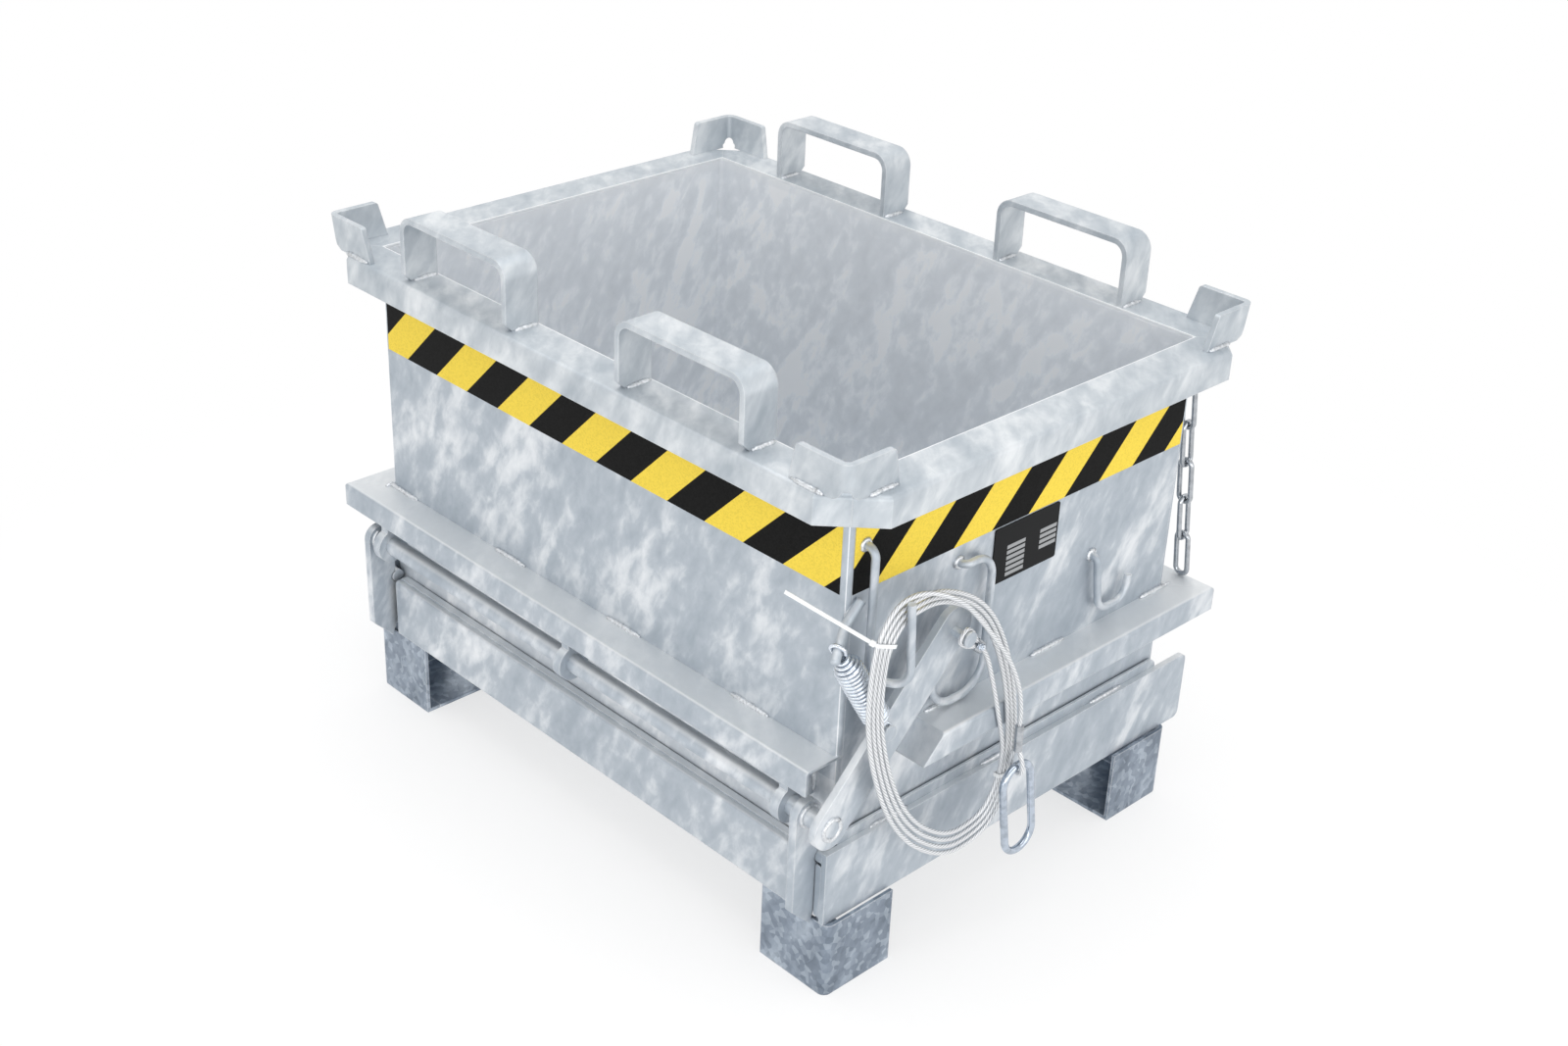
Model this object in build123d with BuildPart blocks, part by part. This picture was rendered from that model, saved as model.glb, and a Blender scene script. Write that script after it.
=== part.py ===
import math
import os

from build123d import *

os.makedirs("parts", exist_ok=True)

# Box body, outside sizes along X and Y
body_length = 890.0
body_width = 620.0
wall = 4.0
body_bend = 10.0
rim_top = 690.0

# Folded rim round the mouth
rim_reach = 55.0
rim_lip = 38.0
rim_sheet = 4.0
rim_corner = 60.0
rim_bend = 6.0

# Folded collar half way down
collar_top = 331.0
collar_reach = 48.0
collar_lip = 34.0
collar_sheet = 4.0
collar_bend = 5.0

# Fork loops of flat bar on the long rims
loop_bar = 8.0
loop_width = 50.0
loop_span = 220.0
loop_height = 90.0
loop_bend = 20.0
loop_end = 232.0
loop_foot_cut = 10.0

# Flared stacking corners
stack_plate = 8.0
stack_height = 47.0
stack_wing_x = 105.0
stack_wing_y = 89.0
stack_flare = 3.5
stack_slope = 12.0
stack_bend = 10.0
stack_inset_x = 18.0
stack_inset_y = 7.0
stack_notch = 13.0
stack_notch_foot = 28.0
stack_notch_height = 14.0
stack_round = 5.0

# Bottom flap: tray, ear plates and feet
foot_height = 106.0
foot_size = 113.0
foot_step = 8.0
foot_sheet = 5.0
foot_bend = 11.0
floor_sheet = 6.0
floor_gap = 1.0
upstand_sheet = 4.0
upstand_height = 110.0
ear_sheet = 8.0
ear_height = 102.0
tray_gap = 2.0
tray_overhang = 21.0
ear_overhang = 19.0
skirt_sheet = 4.0
skirt_height = 86.0
skirt_lip = 12.0

# Hinge of the flap along the back wall
hinge_rod = 20.0
hinge_out = 28.0
hinge_rise = 64.0
hinge_lug = 14.0
hinge_lug_radius = 18.0
hinge_lug_spacing = 380.0
running_gap = 0.05

# Latch shaft under the front collar with its hooks
shaft = 25.0
shaft_out = 35.0
shaft_drop = 67.0
lug_plate = 14.0
lug_radius = 24.0
lug_spacing = 405.0
hook_plate = 12.0
hook_boss = 20.0
hook_inset = 5.0
pin = 18.0
pin_out = 12.0
pin_rise = 90.0
pin_room = 1.0

# Release lever on the latch side
lever_plate = 10.0
lever_gap = 22.0
lever_radius = 27.0
lever_length = 274.0
lever_angle = 45.7
rope_pin_at = 269.0
spring_pin_at = 128.0
spring_pin_across = 20.0
lever_pin = 12.0
pin_head = 20.0
pin_head_thick = 3.0

# Tension spring and the bar it hangs from, placed from the shaft centre
spring_wire = 5.0
spring_radius = 15.5
spring_coils = 15
spring_loop = 9.2
spring_neck = 28.0
anchor_bar = 12.0
anchor_y = 54.0
anchor_rise = 273.0
anchor_drop = 55.0
anchor_foot = 24.0
anchor_lean = 16.0
anchor_bend = 24.0
spring_hang = 17.0

# Round bar hooks, placed from the shaft centre
hook_bar = 10.0
hook_stand = 11.0
front_hook_y = 61.0
front_hook_in_tape = 59.0
front_hook_stand = 17.0
front_hook_low = 172.0
front_hook_reach = 25.0
front_hook_lean = 8.0
front_hook_tip = 111.0
rear_hook_y = 223.0
rear_hook_rise = 258.0
rear_hook_reach = 50.0
rear_hook_run = 94.0
rear_hook_tip = 136.0
ring_hook_y = 481.0
ring_hook_rise = 176.0
ring_hook_lean = 14.0
ring_hook_low = 93.0
ring_hook_run = 53.0
ring_hook_flare = 5.0
ring_hook_tip = 33.0

# Wire rope with its coil placed from the shaft centre, and the pull ring
rope = 6.0
coil_left = 28.0
coil_left_rise = 192.0
coil_right = 297.0
coil_right_rise = -20.0
coil_low_y = 228.0
coil_low_drop = 118.0
coil_top_y = 84.0
coil_top_rise = 286.0
coil_side_y = 243.0
coil_side_rise = 189.0
coil_over_y = 172.0
coil_over_rise = 243.0
coil_free_y = 266.0
coil_free_rise = 114.0
coil_end_y = 282.0
coil_end_rise = 46.0
rope_clear = 0.4
rope_pitch = 6.9
rope_fan = 10.0
rope_stack = 7.8
rope_shift = 3.0
rope_loops = 4
eye_radius = 9.6
eye_length = 22.0
clip_length = 14.0
ferrule = 11.0
ferrule_length = 38.0
ring_bar = 10.0
ring_width = 61.0
ring_height = 146.0
tie_width = 4.5
tie_sheet = 1.3

# Safety chain on the back wall
chain_bar = 7.0
chain_width = 25.0
chain_links = 5
chain_out = 20.0
chain_end = 17.0
chain_lean_x = 16.0
chain_lean_y = 19.0
staple_bar = 8.0
staple_gap = 26.0
staple_reach = 31.0
staple_drop = 71.0
chain_play = 0.3

# Tapes and type plate
tape_height = 100.0
tape_drop = 146.0
tape_sheet = 0.5
plate_length = 119.0
plate_height = 76.0
plate_sheet = 1.5
plate_under_tape = 2.0

# Positions that follow from the sizes above
bx = body_length / 2
by = body_width / 2
rim_x = bx + rim_reach
rim_y = by + rim_reach
collar_x = bx + collar_reach
collar_y = by + collar_reach
collar_low = collar_top - collar_lip
floor_top = foot_height + floor_sheet
body_bottom = floor_top + floor_gap
wall_top = rim_top - rim_sheet
upstand_in = bx + tray_gap
ear_in = upstand_in + upstand_sheet
ear_out = ear_in + ear_sheet
tray_y = by + tray_overhang
hinge_y = by + hinge_out
hinge_z = foot_height + hinge_rise
shaft_y = -by - shaft_out
shaft_z = collar_top - shaft_drop
pin_y = -by - pin_out
pin_z = foot_height + pin_rise
hook_out = bx - hook_inset
hook_in = hook_out - hook_plate
skirt_half = hook_in - 8
lever_in = bx + lever_gap
lever_out = lever_in + lever_plate
rope_x = collar_x + rope / 2 + rope_clear
along = Vector(0, math.cos(math.radians(lever_angle)), math.sin(math.radians(lever_angle)))
across = Vector(0, -along.Z, along.Y)


def save(piece, label):
    piece.label = label
    export_step(piece, f"parts/{label}.step")


def latch_point(y, z, x=0.0):
    """A point given from the shaft centre, so the latch side moves as one."""
    return Vector(x, shaft_y + y, shaft_z + z)


def biarc_joint(p0, t0, p1, t1):
    """Joint and tangent of the two arcs that link p0 to p1."""
    v = p1 - p0
    turn = 2 * (1 - t0.dot(t1))
    reach = v.dot(t0 + t1)
    if turn < 1e-9:
        d = v.dot(v) / (2 * reach)
    else:
        d = (-reach + math.sqrt(reach * reach + turn * v.dot(v))) / turn
    joint = (p0 + p1 + (t0 - t1) * d) * 0.5
    return joint, ((p1 - t1 * d) - (p0 + t0 * d)).normalized()


def arc_or_line(p0, p1, tangent):
    if (p1 - p0).normalized().dot(tangent) > 1 - 1e-9:
        return Line(p0, p1)
    return TangentArc(p0, p1, tangent=tangent)


def biarcs(stops):
    """Smooth path of tangent arcs through (point, tangent) stops."""
    pieces = []
    for (p0, t0), (p1, t1) in zip(stops, stops[1:]):
        joint, tangent = biarc_joint(p0, t0, p1, t1)
        pieces.append(arc_or_line(p0, joint, t0))
        pieces.append(arc_or_line(joint, p1, tangent))
    return pieces


def self_gap(edges, diameter, step):
    """Least free gap of a tube to itself, measured on points along its centre line."""
    points = []
    run = 0.0
    for edge in edges:
        count = max(2, round(edge.length / step))
        for i in range(count):
            p = edge @ (i / count)
            points.append((run + edge.length * i / count, p.X, p.Y, p.Z))
        run += edge.length
    least = 1e9
    for i, a in enumerate(points):
        for b in points[i + 1:]:
            if b[0] - a[0] > 4 * diameter:
                gap = (a[1] - b[1]) ** 2 + (a[2] - b[2]) ** 2 + (a[3] - b[3]) ** 2
                least = min(least, gap)
    return math.sqrt(least) - diameter


def tube(stops, diameter):
    """A tube along a biarc path; returns the solid and its path edges."""
    with BuildPart() as swept:
        with BuildLine():
            edges = biarcs(stops)
        with BuildSketch(Plane(origin=stops[0][0], z_dir=stops[0][1])):
            Circle(diameter / 2)
        sweep()
    return swept.part, edges


def bent_bar(points, radii, diameter):
    """A round bar bent at each inner point."""
    with BuildPart() as bar:
        with BuildLine():
            FilletPolyline(*points, radius=radii)
        with BuildSketch(Plane(origin=points[0], z_dir=points[1] - points[0])):
            Circle(diameter / 2)
        sweep()
    return bar.part


# Box walls, the long ones with the bent corners


def body_wall(centre, size):
    with BuildPart() as sheet:
        with BuildSketch(Plane.XY.offset(body_bottom)):
            RectangleRounded(body_length, body_width, body_bend)
            RectangleRounded(body_length - 2 * wall, body_width - 2 * wall, body_bend - wall,
                             mode=Mode.SUBTRACT)
            with Locations(centre):
                Rectangle(*size, mode=Mode.INTERSECT)
        extrude(amount=wall_top - body_bottom)
    return sheet.part


long_wall = (body_length, body_bend)
end_wall = (body_bend, body_width - 2 * body_bend)
save(body_wall((0, body_bend / 2 - by), long_wall), "front_wall")
save(body_wall((0, by - body_bend / 2), long_wall), "back_wall")
save(body_wall((bx - body_bend / 2, 0), end_wall), "latch_side_wall")
save(body_wall((body_bend / 2 - bx, 0), end_wall), "far_side_wall")


# Rim angles, mitred through the cut corners


def rim_side(mitre):
    with BuildPart() as rim:
        with BuildSketch(Plane.XY.offset(wall_top)) as plate:
            Rectangle(2 * rim_x, 2 * rim_y)
            chamfer(plate.vertices(), rim_corner)
            RectangleRounded(body_length - 2 * wall, body_width - 2 * wall, body_bend - wall,
                             mode=Mode.SUBTRACT)
        extrude(amount=rim_sheet)
        with BuildSketch(Plane.XY.offset(rim_top - rim_lip)) as lip:
            Rectangle(2 * rim_x, 2 * rim_y)
            chamfer(lip.vertices(), rim_corner)
            offset(amount=-rim_sheet, mode=Mode.SUBTRACT)
        extrude(amount=rim_lip - rim_sheet)
        fillet(rim.faces().sort_by(Axis.Z)[-1].outer_wire().edges(), rim_bend)
        with BuildSketch(Plane.XY.offset(rim_top - rim_lip)):
            with BuildLine():
                Polyline(*mitre, close=True)
            make_face()
        extrude(amount=rim_lip, mode=Mode.INTERSECT)
    return rim.part


mx = bx - 2 * body_bend
my = by - 2 * body_bend
ox = rim_x + 2 * body_bend
oy = rim_y + 2 * body_bend
save(rim_side([(-mx, -my), (mx, -my), (ox, -oy), (-ox, -oy)]), "rim_front")
save(rim_side([(-mx, my), (mx, my), (ox, oy), (-ox, oy)]), "rim_back")
save(rim_side([(mx, -my), (mx, my), (ox, oy), (ox, -oy)]), "rim_latch_side")
save(rim_side([(-mx, -my), (-mx, my), (-ox, oy), (-ox, -oy)]), "rim_far_side")


# Collar angles; the latch side one stops short of the lever with a slanted closed end

slant_top = shaft_y + 169
slant_low = slant_top - collar_lip


def collar_side(mitre, slanted=False):
    with BuildPart() as collar:
        with BuildSketch(Plane.XY.offset(collar_top - collar_sheet)):
            Rectangle(2 * collar_x, 2 * collar_y)
            RectangleRounded(body_length, body_width, body_bend, mode=Mode.SUBTRACT)
        extrude(amount=collar_sheet)
        with BuildSketch(Plane.XY.offset(collar_low)):
            Rectangle(2 * collar_x, 2 * collar_y)
            Rectangle(2 * (collar_x - collar_sheet), 2 * (collar_y - collar_sheet), mode=Mode.SUBTRACT)
        extrude(amount=collar_lip - collar_sheet)
        fillet(collar.faces().sort_by(Axis.Z)[-1].outer_wire().edges(), collar_bend)
        with BuildSketch(Plane.XY.offset(collar_low)):
            with BuildLine():
                Polyline(*mitre, close=True)
            make_face()
        extrude(amount=collar_lip, mode=Mode.INTERSECT)
        if slanted:
            with BuildSketch(Plane.YZ.offset(bx)):
                with BuildLine():
                    Polyline((slant_top, collar_top), (slant_low, collar_low),
                             (slant_low - collar_lip, collar_low), (slant_low - collar_lip, collar_top),
                             close=True)
                make_face()
            extrude(amount=collar_reach, mode=Mode.SUBTRACT)
            slab = collar_sheet * math.sqrt(2)
            with BuildSketch(Plane.YZ.offset(bx)):
                with BuildLine():
                    Polyline((slant_top - collar_sheet, collar_top - collar_sheet), (slant_low, collar_low),
                             (slant_low + slab, collar_low),
                             (slant_top - collar_sheet + slab, collar_top - collar_sheet), close=True)
                make_face()
            extrude(amount=collar_reach - collar_sheet)
    return collar.part


cx = collar_x + 2 * body_bend
cy = collar_y + 2 * body_bend
save(collar_side([(-mx, -my), (bx, -my), (bx, -cy), (-cx, -cy)]), "collar_front")
save(collar_side([(-mx, my), (mx, my), (cx, cy), (-cx, cy)]), "collar_back")
save(collar_side([(mx, slant_low - 1), (mx, my), (cx, cy), (cx, slant_low - 1)], True), "collar_latch_side")
save(collar_side([(-mx, -my), (-mx, my), (-cx, cy), (-cx, -cy)]), "collar_far_side")


# Fork loops of bent flat bar standing on the long rims

loop_y = (by - wall + rim_y - rim_bend) / 2


def fork_loop(centre, side):
    half = (loop_span - loop_bar) / 2
    with BuildPart() as loop:
        with BuildSketch(Plane.XZ.offset(-side * loop_y)):
            with BuildLine():
                FilletPolyline((centre - half, rim_top),
                               (centre - half, rim_top + loop_height - loop_bar / 2),
                               (centre + half, rim_top + loop_height - loop_bar / 2),
                               (centre + half, rim_top), radius=loop_bend)
            trace(line_width=loop_bar)
        extrude(amount=loop_width / 2, both=True)
        feet = loop.edges().filter_by(Axis.X).group_by(Axis.Z)[0].sort_by(Axis.Y)
        chamfer(feet[-2:] if side > 0 else feet[:2], loop_foot_cut)
    return loop.part


save(fork_loop(loop_end - bx, -1), "fork_loop_front_left")
save(fork_loop(bx - loop_end, -1), "fork_loop_front_right")
save(fork_loop(loop_end - bx, 1), "fork_loop_back_left")
save(fork_loop(bx - loop_end, 1), "fork_loop_back_right")


# Flared stacking corners of bent plate on the rim, notched under the bend


def stack_corner(sx, sy):
    with BuildPart() as corner:
        for rise, flare, slope in ((0, 0, 0), (stack_height, stack_flare, stack_slope)):
            lx = rim_x - stack_inset_x - stack_plate / 2 + flare
            ly = rim_y - stack_inset_y - stack_plate / 2 + flare
            with BuildSketch(Plane.XY.offset(rim_top + rise)):
                with BuildLine():
                    FilletPolyline((sx * (rim_x - stack_wing_x + slope), sy * ly), (sx * lx, sy * ly),
                                   (sx * lx, sy * (rim_y - stack_wing_y + slope)), radius=stack_bend)
                trace(line_width=stack_plate)
        loft()
        ends = corner.faces().sort_by(Axis.Z)[-1].edges().sort_by(SortBy.LENGTH)[:2]
        fillet(ends, stack_round)
        bend = (sx * (rim_x - stack_inset_x), sy * (rim_y - stack_inset_y), rim_top)
        with BuildSketch(Plane(origin=bend, x_dir=(-sy, sx, 0), z_dir=(sx, sy, 0))):
            with BuildLine():
                Polyline((-stack_notch_foot / 2, 0), (-stack_notch / 2, stack_notch_height - stack_notch / 2),
                         (stack_notch / 2, stack_notch_height - stack_notch / 2), (stack_notch_foot / 2, 0),
                         close=True)
            make_face()
            with Locations((0, stack_notch_height - stack_notch / 2)):
                Circle(stack_notch / 2)
        extrude(amount=2 * stack_bend, both=True, mode=Mode.SUBTRACT)
    return corner.part


save(stack_corner(-1, -1), "stack_corner_front_left")
save(stack_corner(1, -1), "stack_corner_front_right")
save(stack_corner(-1, 1), "stack_corner_back_left")
save(stack_corner(1, 1), "stack_corner_back_right")


# Shaft lugs hung under the front collar

with BuildPart() as shaft_lugs:
    for x in (-lug_spacing, 0, lug_spacing):
        with BuildSketch(Plane.YZ.offset(x - lug_plate / 2)):
            with BuildLine():
                Polyline((-by, shaft_z), (-by, collar_top - collar_sheet),
                         (collar_sheet - collar_y, collar_top - collar_sheet),
                         (collar_sheet - collar_y, shaft_z), close=True)
            make_face()
            with Locations((shaft_y, shaft_z)):
                Circle(lug_radius)
                Circle(shaft / 2 + running_gap, mode=Mode.SUBTRACT)
        extrude(amount=lug_plate)
save(shaft_lugs.part, "shaft_lugs")


# Hinge lugs on the back wall

with BuildPart() as hinge_lugs:
    for x in (-hinge_lug_spacing, 0, hinge_lug_spacing):
        with BuildSketch(Plane.YZ.offset(x - hinge_lug / 2)):
            with BuildLine():
                Polyline((by, hinge_z - 1.6 * hinge_lug_radius), (hinge_y, hinge_z - hinge_lug_radius),
                         (hinge_y, hinge_z + hinge_lug_radius), (by, hinge_z + 2.4 * hinge_lug_radius),
                         close=True)
            make_face()
            with Locations((hinge_y, hinge_z)):
                Circle(hinge_lug_radius)
                Circle(hinge_rod / 2 + running_gap, mode=Mode.SUBTRACT)
        extrude(amount=hinge_lug)
save(hinge_lugs.part, "hinge_lugs")


# Bottom flap: floor, skirt, upstands, ear plates, hinge rod, catch pins and feet

with BuildPart() as floor_plate:
    with BuildSketch(Plane.XY.offset(foot_height)):
        with Locations((0, skirt_sheet / 2)):
            Rectangle(2 * ear_in, 2 * tray_y - skirt_sheet)
        for sx in (-1, 1):
            with BuildLine():
                Polyline((sx * (hook_in - 4), -tray_y - 1), (sx * (hook_out + 4), -tray_y - 1),
                         (sx * (hook_out + 4), -by - 2), (sx * (hook_in - 4), -by - 2), close=True)
            make_face(mode=Mode.SUBTRACT)
    extrude(amount=floor_sheet)
save(floor_plate.part, "floor_plate")

with BuildPart() as front_skirt:
    with BuildSketch(Plane.YZ.offset(-skirt_half)) as profile:
        with BuildLine():
            Polyline((-tray_y, foot_height), (-tray_y, foot_height + skirt_height),
                     (skirt_lip - tray_y, foot_height + skirt_height),
                     (skirt_lip - tray_y, foot_height + skirt_height - skirt_sheet),
                     (skirt_sheet - tray_y, foot_height + skirt_height - skirt_sheet),
                     (skirt_sheet - tray_y, foot_height), close=True)
        make_face()
        fold = profile.vertices().group_by(Axis.X)[0].sort_by(Axis.Y)[-1]
        fillet(fold, skirt_sheet + 1)
    extrude(amount=2 * skirt_half)
save(front_skirt.part, "front_skirt")


def upstand(side):
    with BuildPart() as sheet:
        with BuildSketch(Plane.YZ.offset(upstand_in if side > 0 else -ear_in)) as face:
            with Locations((0, floor_top + upstand_height / 2)):
                Rectangle(body_width - 2 * wall, upstand_height)
            fillet(face.vertices().group_by(Axis.Y)[-1], 14)
        extrude(amount=upstand_sheet)
    return sheet.part


save(upstand(1), "upstand_latch_side")
save(upstand(-1), "upstand_far_side")

ear_back = hinge_y + hinge_rod / 2 + ear_overhang


def ear(side):
    with BuildPart() as plate:
        with BuildSketch(Plane.YZ.offset(ear_in if side > 0 else -ear_out)) as face:
            with Locations(((ear_back - tray_y) / 2, foot_height + ear_height / 2)):
                Rectangle(ear_back + tray_y, ear_height)
            fillet(face.vertices().group_by(Axis.X)[-1], 10)
        extrude(amount=ear_sheet)
    return plate.part


save(ear(1), "ear_latch_side")
save(ear(-1), "ear_far_side")

with BuildPart() as rod:
    with BuildSketch(Plane.YZ.offset(-ear_in)):
        with Locations((hinge_y, hinge_z)):
            Circle(hinge_rod / 2)
    extrude(amount=2 * ear_in)
save(rod.part, "hinge_rod")

with BuildPart() as catch_pins:
    for x in (hook_in - 2, -ear_in):
        with BuildSketch(Plane.YZ.offset(x)):
            with Locations((pin_y, pin_z)):
                Circle(pin / 2)
        extrude(amount=ear_in - hook_in + 2)
save(catch_pins.part, "catch_pins")


def foot(sx, sy):
    centre = (sx * (ear_out + foot_step - foot_size / 2), sy * (tray_y - foot_size / 2))
    outer = (sx * (ear_out + foot_step), sy * tray_y)
    with BuildPart() as leg:
        for rise, inner in ((foot_height, True), (foot_sheet, False)):
            with BuildSketch() as plan:
                with Locations(centre):
                    Rectangle(foot_size, foot_size)
                fillet(plan.vertices().sort_by_distance(outer)[0], foot_bend)
                if inner:
                    with BuildSketch(mode=Mode.SUBTRACT) as room:
                        with Locations((centre[0] - sx * foot_sheet, centre[1] - sy * foot_sheet)):
                            Rectangle(foot_size, foot_size)
                        fillet(room.vertices().sort_by_distance(outer)[0], foot_bend - foot_sheet)
            extrude(amount=rise)
    return leg.part


save(foot(-1, -1), "foot_front_left")
save(foot(1, -1), "foot_front_right")
save(foot(-1, 1), "foot_back_left")
save(foot(1, 1), "foot_back_right")


# Latch: shaft, hooks, lever and its pins

with BuildPart() as latch_shaft:
    with BuildSketch(Plane.YZ.offset(-hook_out - 4)):
        with Locations((shaft_y, shaft_z)):
            Circle(shaft / 2)
    extrude(amount=hook_out + 4 + lever_out + 1)
    chamfer(latch_shaft.edges().group_by(Axis.X)[-1], 1)
save(latch_shaft.part, "latch_shaft")


def hook(x):
    with BuildPart() as plate:
        with BuildSketch(Plane.YZ.offset(x)):
            with BuildLine():
                Polyline((shaft_y - hook_boss, shaft_z), (shaft_y - hook_boss, pin_z - 65),
                         (pin_y - 12, foot_height - 6), (pin_y + 6, pin_z - 38), (pin_y + 6, pin_z),
                         (pin_y - 3, pin_z + pin / 2 + pin_room), (pin_y - 3, shaft_z), close=True)
            make_face()
            with Locations((shaft_y, shaft_z)):
                Circle(hook_boss)
                Circle(shaft / 2 + running_gap / 2, mode=Mode.SUBTRACT)
            with Locations((pin_y, pin_z)):
                Circle(pin / 2 + pin_room, mode=Mode.SUBTRACT)
            with Locations((pin_y + pin / 2, pin_z)):
                Rectangle(pin, pin + 2 * pin_room, mode=Mode.SUBTRACT)
        extrude(amount=hook_plate)
    return plate.part


save(hook(-hook_out), "hook_left")
save(hook(hook_in), "hook_right")

lever_end = latch_point(0, 0) + along * lever_length
rope_pin = latch_point(0, 0) + along * rope_pin_at
spring_pin = latch_point(0, 0) + along * spring_pin_at + across * spring_pin_across

with BuildPart() as lever:
    with BuildSketch(Plane.YZ.offset(lever_in)) as outline:
        with Locations((shaft_y, shaft_z), (lever_end.Y, lever_end.Z)):
            Circle(lever_radius)
        make_hull()
        with Locations((shaft_y, shaft_z)):
            Circle(shaft / 2 + running_gap / 2, mode=Mode.SUBTRACT)
    extrude(amount=lever_plate)
save(lever.part, "lever")

spring_x = lever_out + spring_wire / 2 + 1
with BuildPart() as lever_pins:
    for centre, end in ((spring_pin, spring_x + spring_wire / 2 + 4), (rope_pin, rope_x + rope / 2 + 1)):
        with BuildSketch(Plane.YZ.offset(lever_out)):
            with Locations((centre.Y, centre.Z)):
                Circle(lever_pin / 2)
        extrude(amount=end - lever_out)
        with BuildSketch(Plane.YZ.offset(end)):
            with Locations((centre.Y, centre.Z)):
                Circle(pin_head / 2)
        extrude(amount=pin_head_thick)
save(lever_pins.part, "lever_pins")


# Bar that the spring hangs from, welded beside the front corner

anchor_x = bx + anchor_bar / 2
anchor_top = latch_point(anchor_y, anchor_rise, anchor_x)
anchor_knee = latch_point(anchor_y - anchor_foot, anchor_rise - anchor_foot, anchor_x)
anchor_end = latch_point(anchor_y - anchor_drop, anchor_rise - anchor_drop, anchor_x + anchor_lean)
with BuildPart() as anchor:
    with BuildLine():
        FilletPolyline(anchor_top, anchor_knee, anchor_end, radius=anchor_bend)
    with BuildSketch(Plane(origin=anchor_top, z_dir=anchor_knee - anchor_top)):
        Circle(anchor_bar / 2)
    sweep()
    fillet(anchor.faces().sort_by_distance(anchor_end)[0].edges(), anchor_bar / 2 - 1)
save(anchor.part, "spring_anchor")


# Tension spring: close coils with a hook eye at each end

spring_a = anchor_end + (anchor_knee - anchor_end).normalized() * spring_hang
spring_b = Vector(spring_x, spring_pin.Y, spring_pin.Z)
axis = (spring_b - spring_a).normalized()
side_a = axis.cross(anchor_end - anchor_knee).normalized()
side_b = axis.cross(Vector(1, 0, 0)).normalized()
turn = axis.cross(side_a)
coil_length = (spring_b - spring_a).length - 2 * spring_neck
first_turn = math.radians(40)
last_turn = math.atan2(side_b.dot(turn), side_b.dot(side_a)) - first_turn + 2 * math.pi * spring_coils
quarters = math.ceil((last_turn - first_turn) / (math.pi / 2))


def spring_stop(part):
    angle = first_turn + (last_turn - first_turn) * part
    radial = side_a * math.cos(angle) + turn * math.sin(angle)
    way = turn * math.cos(angle) - side_a * math.sin(angle)
    climb = coil_length / ((last_turn - first_turn) * spring_radius)
    point = spring_a + axis * (spring_neck + coil_length * part) + radial * spring_radius
    return point, (way + axis * climb).normalized()


def spring_eye(centre, out, side):
    """Hook eye round a bar: out beside it, over the top and most of the way back."""
    stops = []
    for degrees in (0, 90, 180, 225):
        a = math.radians(degrees)
        point = centre + (side * math.cos(a) + out * math.sin(a)) * spring_loop
        stops.append((point, out * math.cos(a) - side * math.sin(a)))
    return stops


spring_stops = [(p, t * -1) for p, t in reversed(spring_eye(spring_a, axis * -1, side_a))]
spring_stops += [spring_stop(i / quarters) for i in range(quarters + 1)]
spring_stops += spring_eye(spring_b, axis, side_b)
spring, spring_edges = tube(spring_stops, spring_wire)
save(spring, "tension_spring")
print("spring self gap", round(self_gap(spring_edges, spring_wire, 1.2), 2))


# Round bar hooks on the latch side wall

half_bar = hook_bar / 2
stand_x = bx + hook_stand
front_x = bx + front_hook_stand
front_tip_x = rope_x + rope / 2 + half_bar + 0.5
front_foot_rise = rim_top - tape_drop + front_hook_in_tape - shaft_z
front_tip_y = front_hook_y + front_hook_reach
front_hook = bent_bar(
    [latch_point(front_hook_y, front_foot_rise, bx), latch_point(front_hook_y, front_foot_rise, front_x),
     latch_point(front_hook_y, front_hook_low, front_x),
     latch_point(front_tip_y, front_hook_low, front_tip_x),
     latch_point(front_tip_y - front_hook_lean, front_hook_low + front_hook_tip, front_tip_x)],
    [1.2 * hook_bar, 2.2 * hook_bar, 2.2 * hook_bar], hook_bar)
save(front_hook, "rope_hook_front")
rear_low = collar_top - shaft_z + half_bar + 3
rear_back = rear_hook_y + rear_hook_reach
rear_front = rear_back - rear_hook_run
rear_hook = bent_bar(
    [latch_point(rear_hook_y, rear_hook_rise, bx), latch_point(rear_hook_y, rear_hook_rise, stand_x),
     latch_point(rear_back, rear_hook_rise, stand_x), latch_point(rear_back, rear_low, stand_x),
     latch_point(rear_front, rear_low, stand_x), latch_point(rear_front, rear_hook_tip, stand_x)],
    [0.9 * hook_bar, 3 * hook_bar, 4 * hook_bar, 4 * hook_bar], hook_bar)
save(rear_hook, "rope_hook_rear")
ring_hook_bend = ring_hook_y + ring_hook_lean
ring_hook = bent_bar(
    [latch_point(ring_hook_y, ring_hook_rise, bx), latch_point(ring_hook_y, ring_hook_rise, stand_x),
     latch_point(ring_hook_bend, ring_hook_low, stand_x),
     latch_point(ring_hook_bend + ring_hook_run, ring_hook_low, stand_x),
     latch_point(ring_hook_bend + ring_hook_run + ring_hook_flare, ring_hook_low + ring_hook_tip, stand_x)],
    [0.9 * hook_bar, 2.4 * hook_bar, 2.2 * hook_bar], hook_bar)
save(ring_hook, "ring_hook")


# Wire rope: flat coil hung against the collar, from the inner loop outwards

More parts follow.
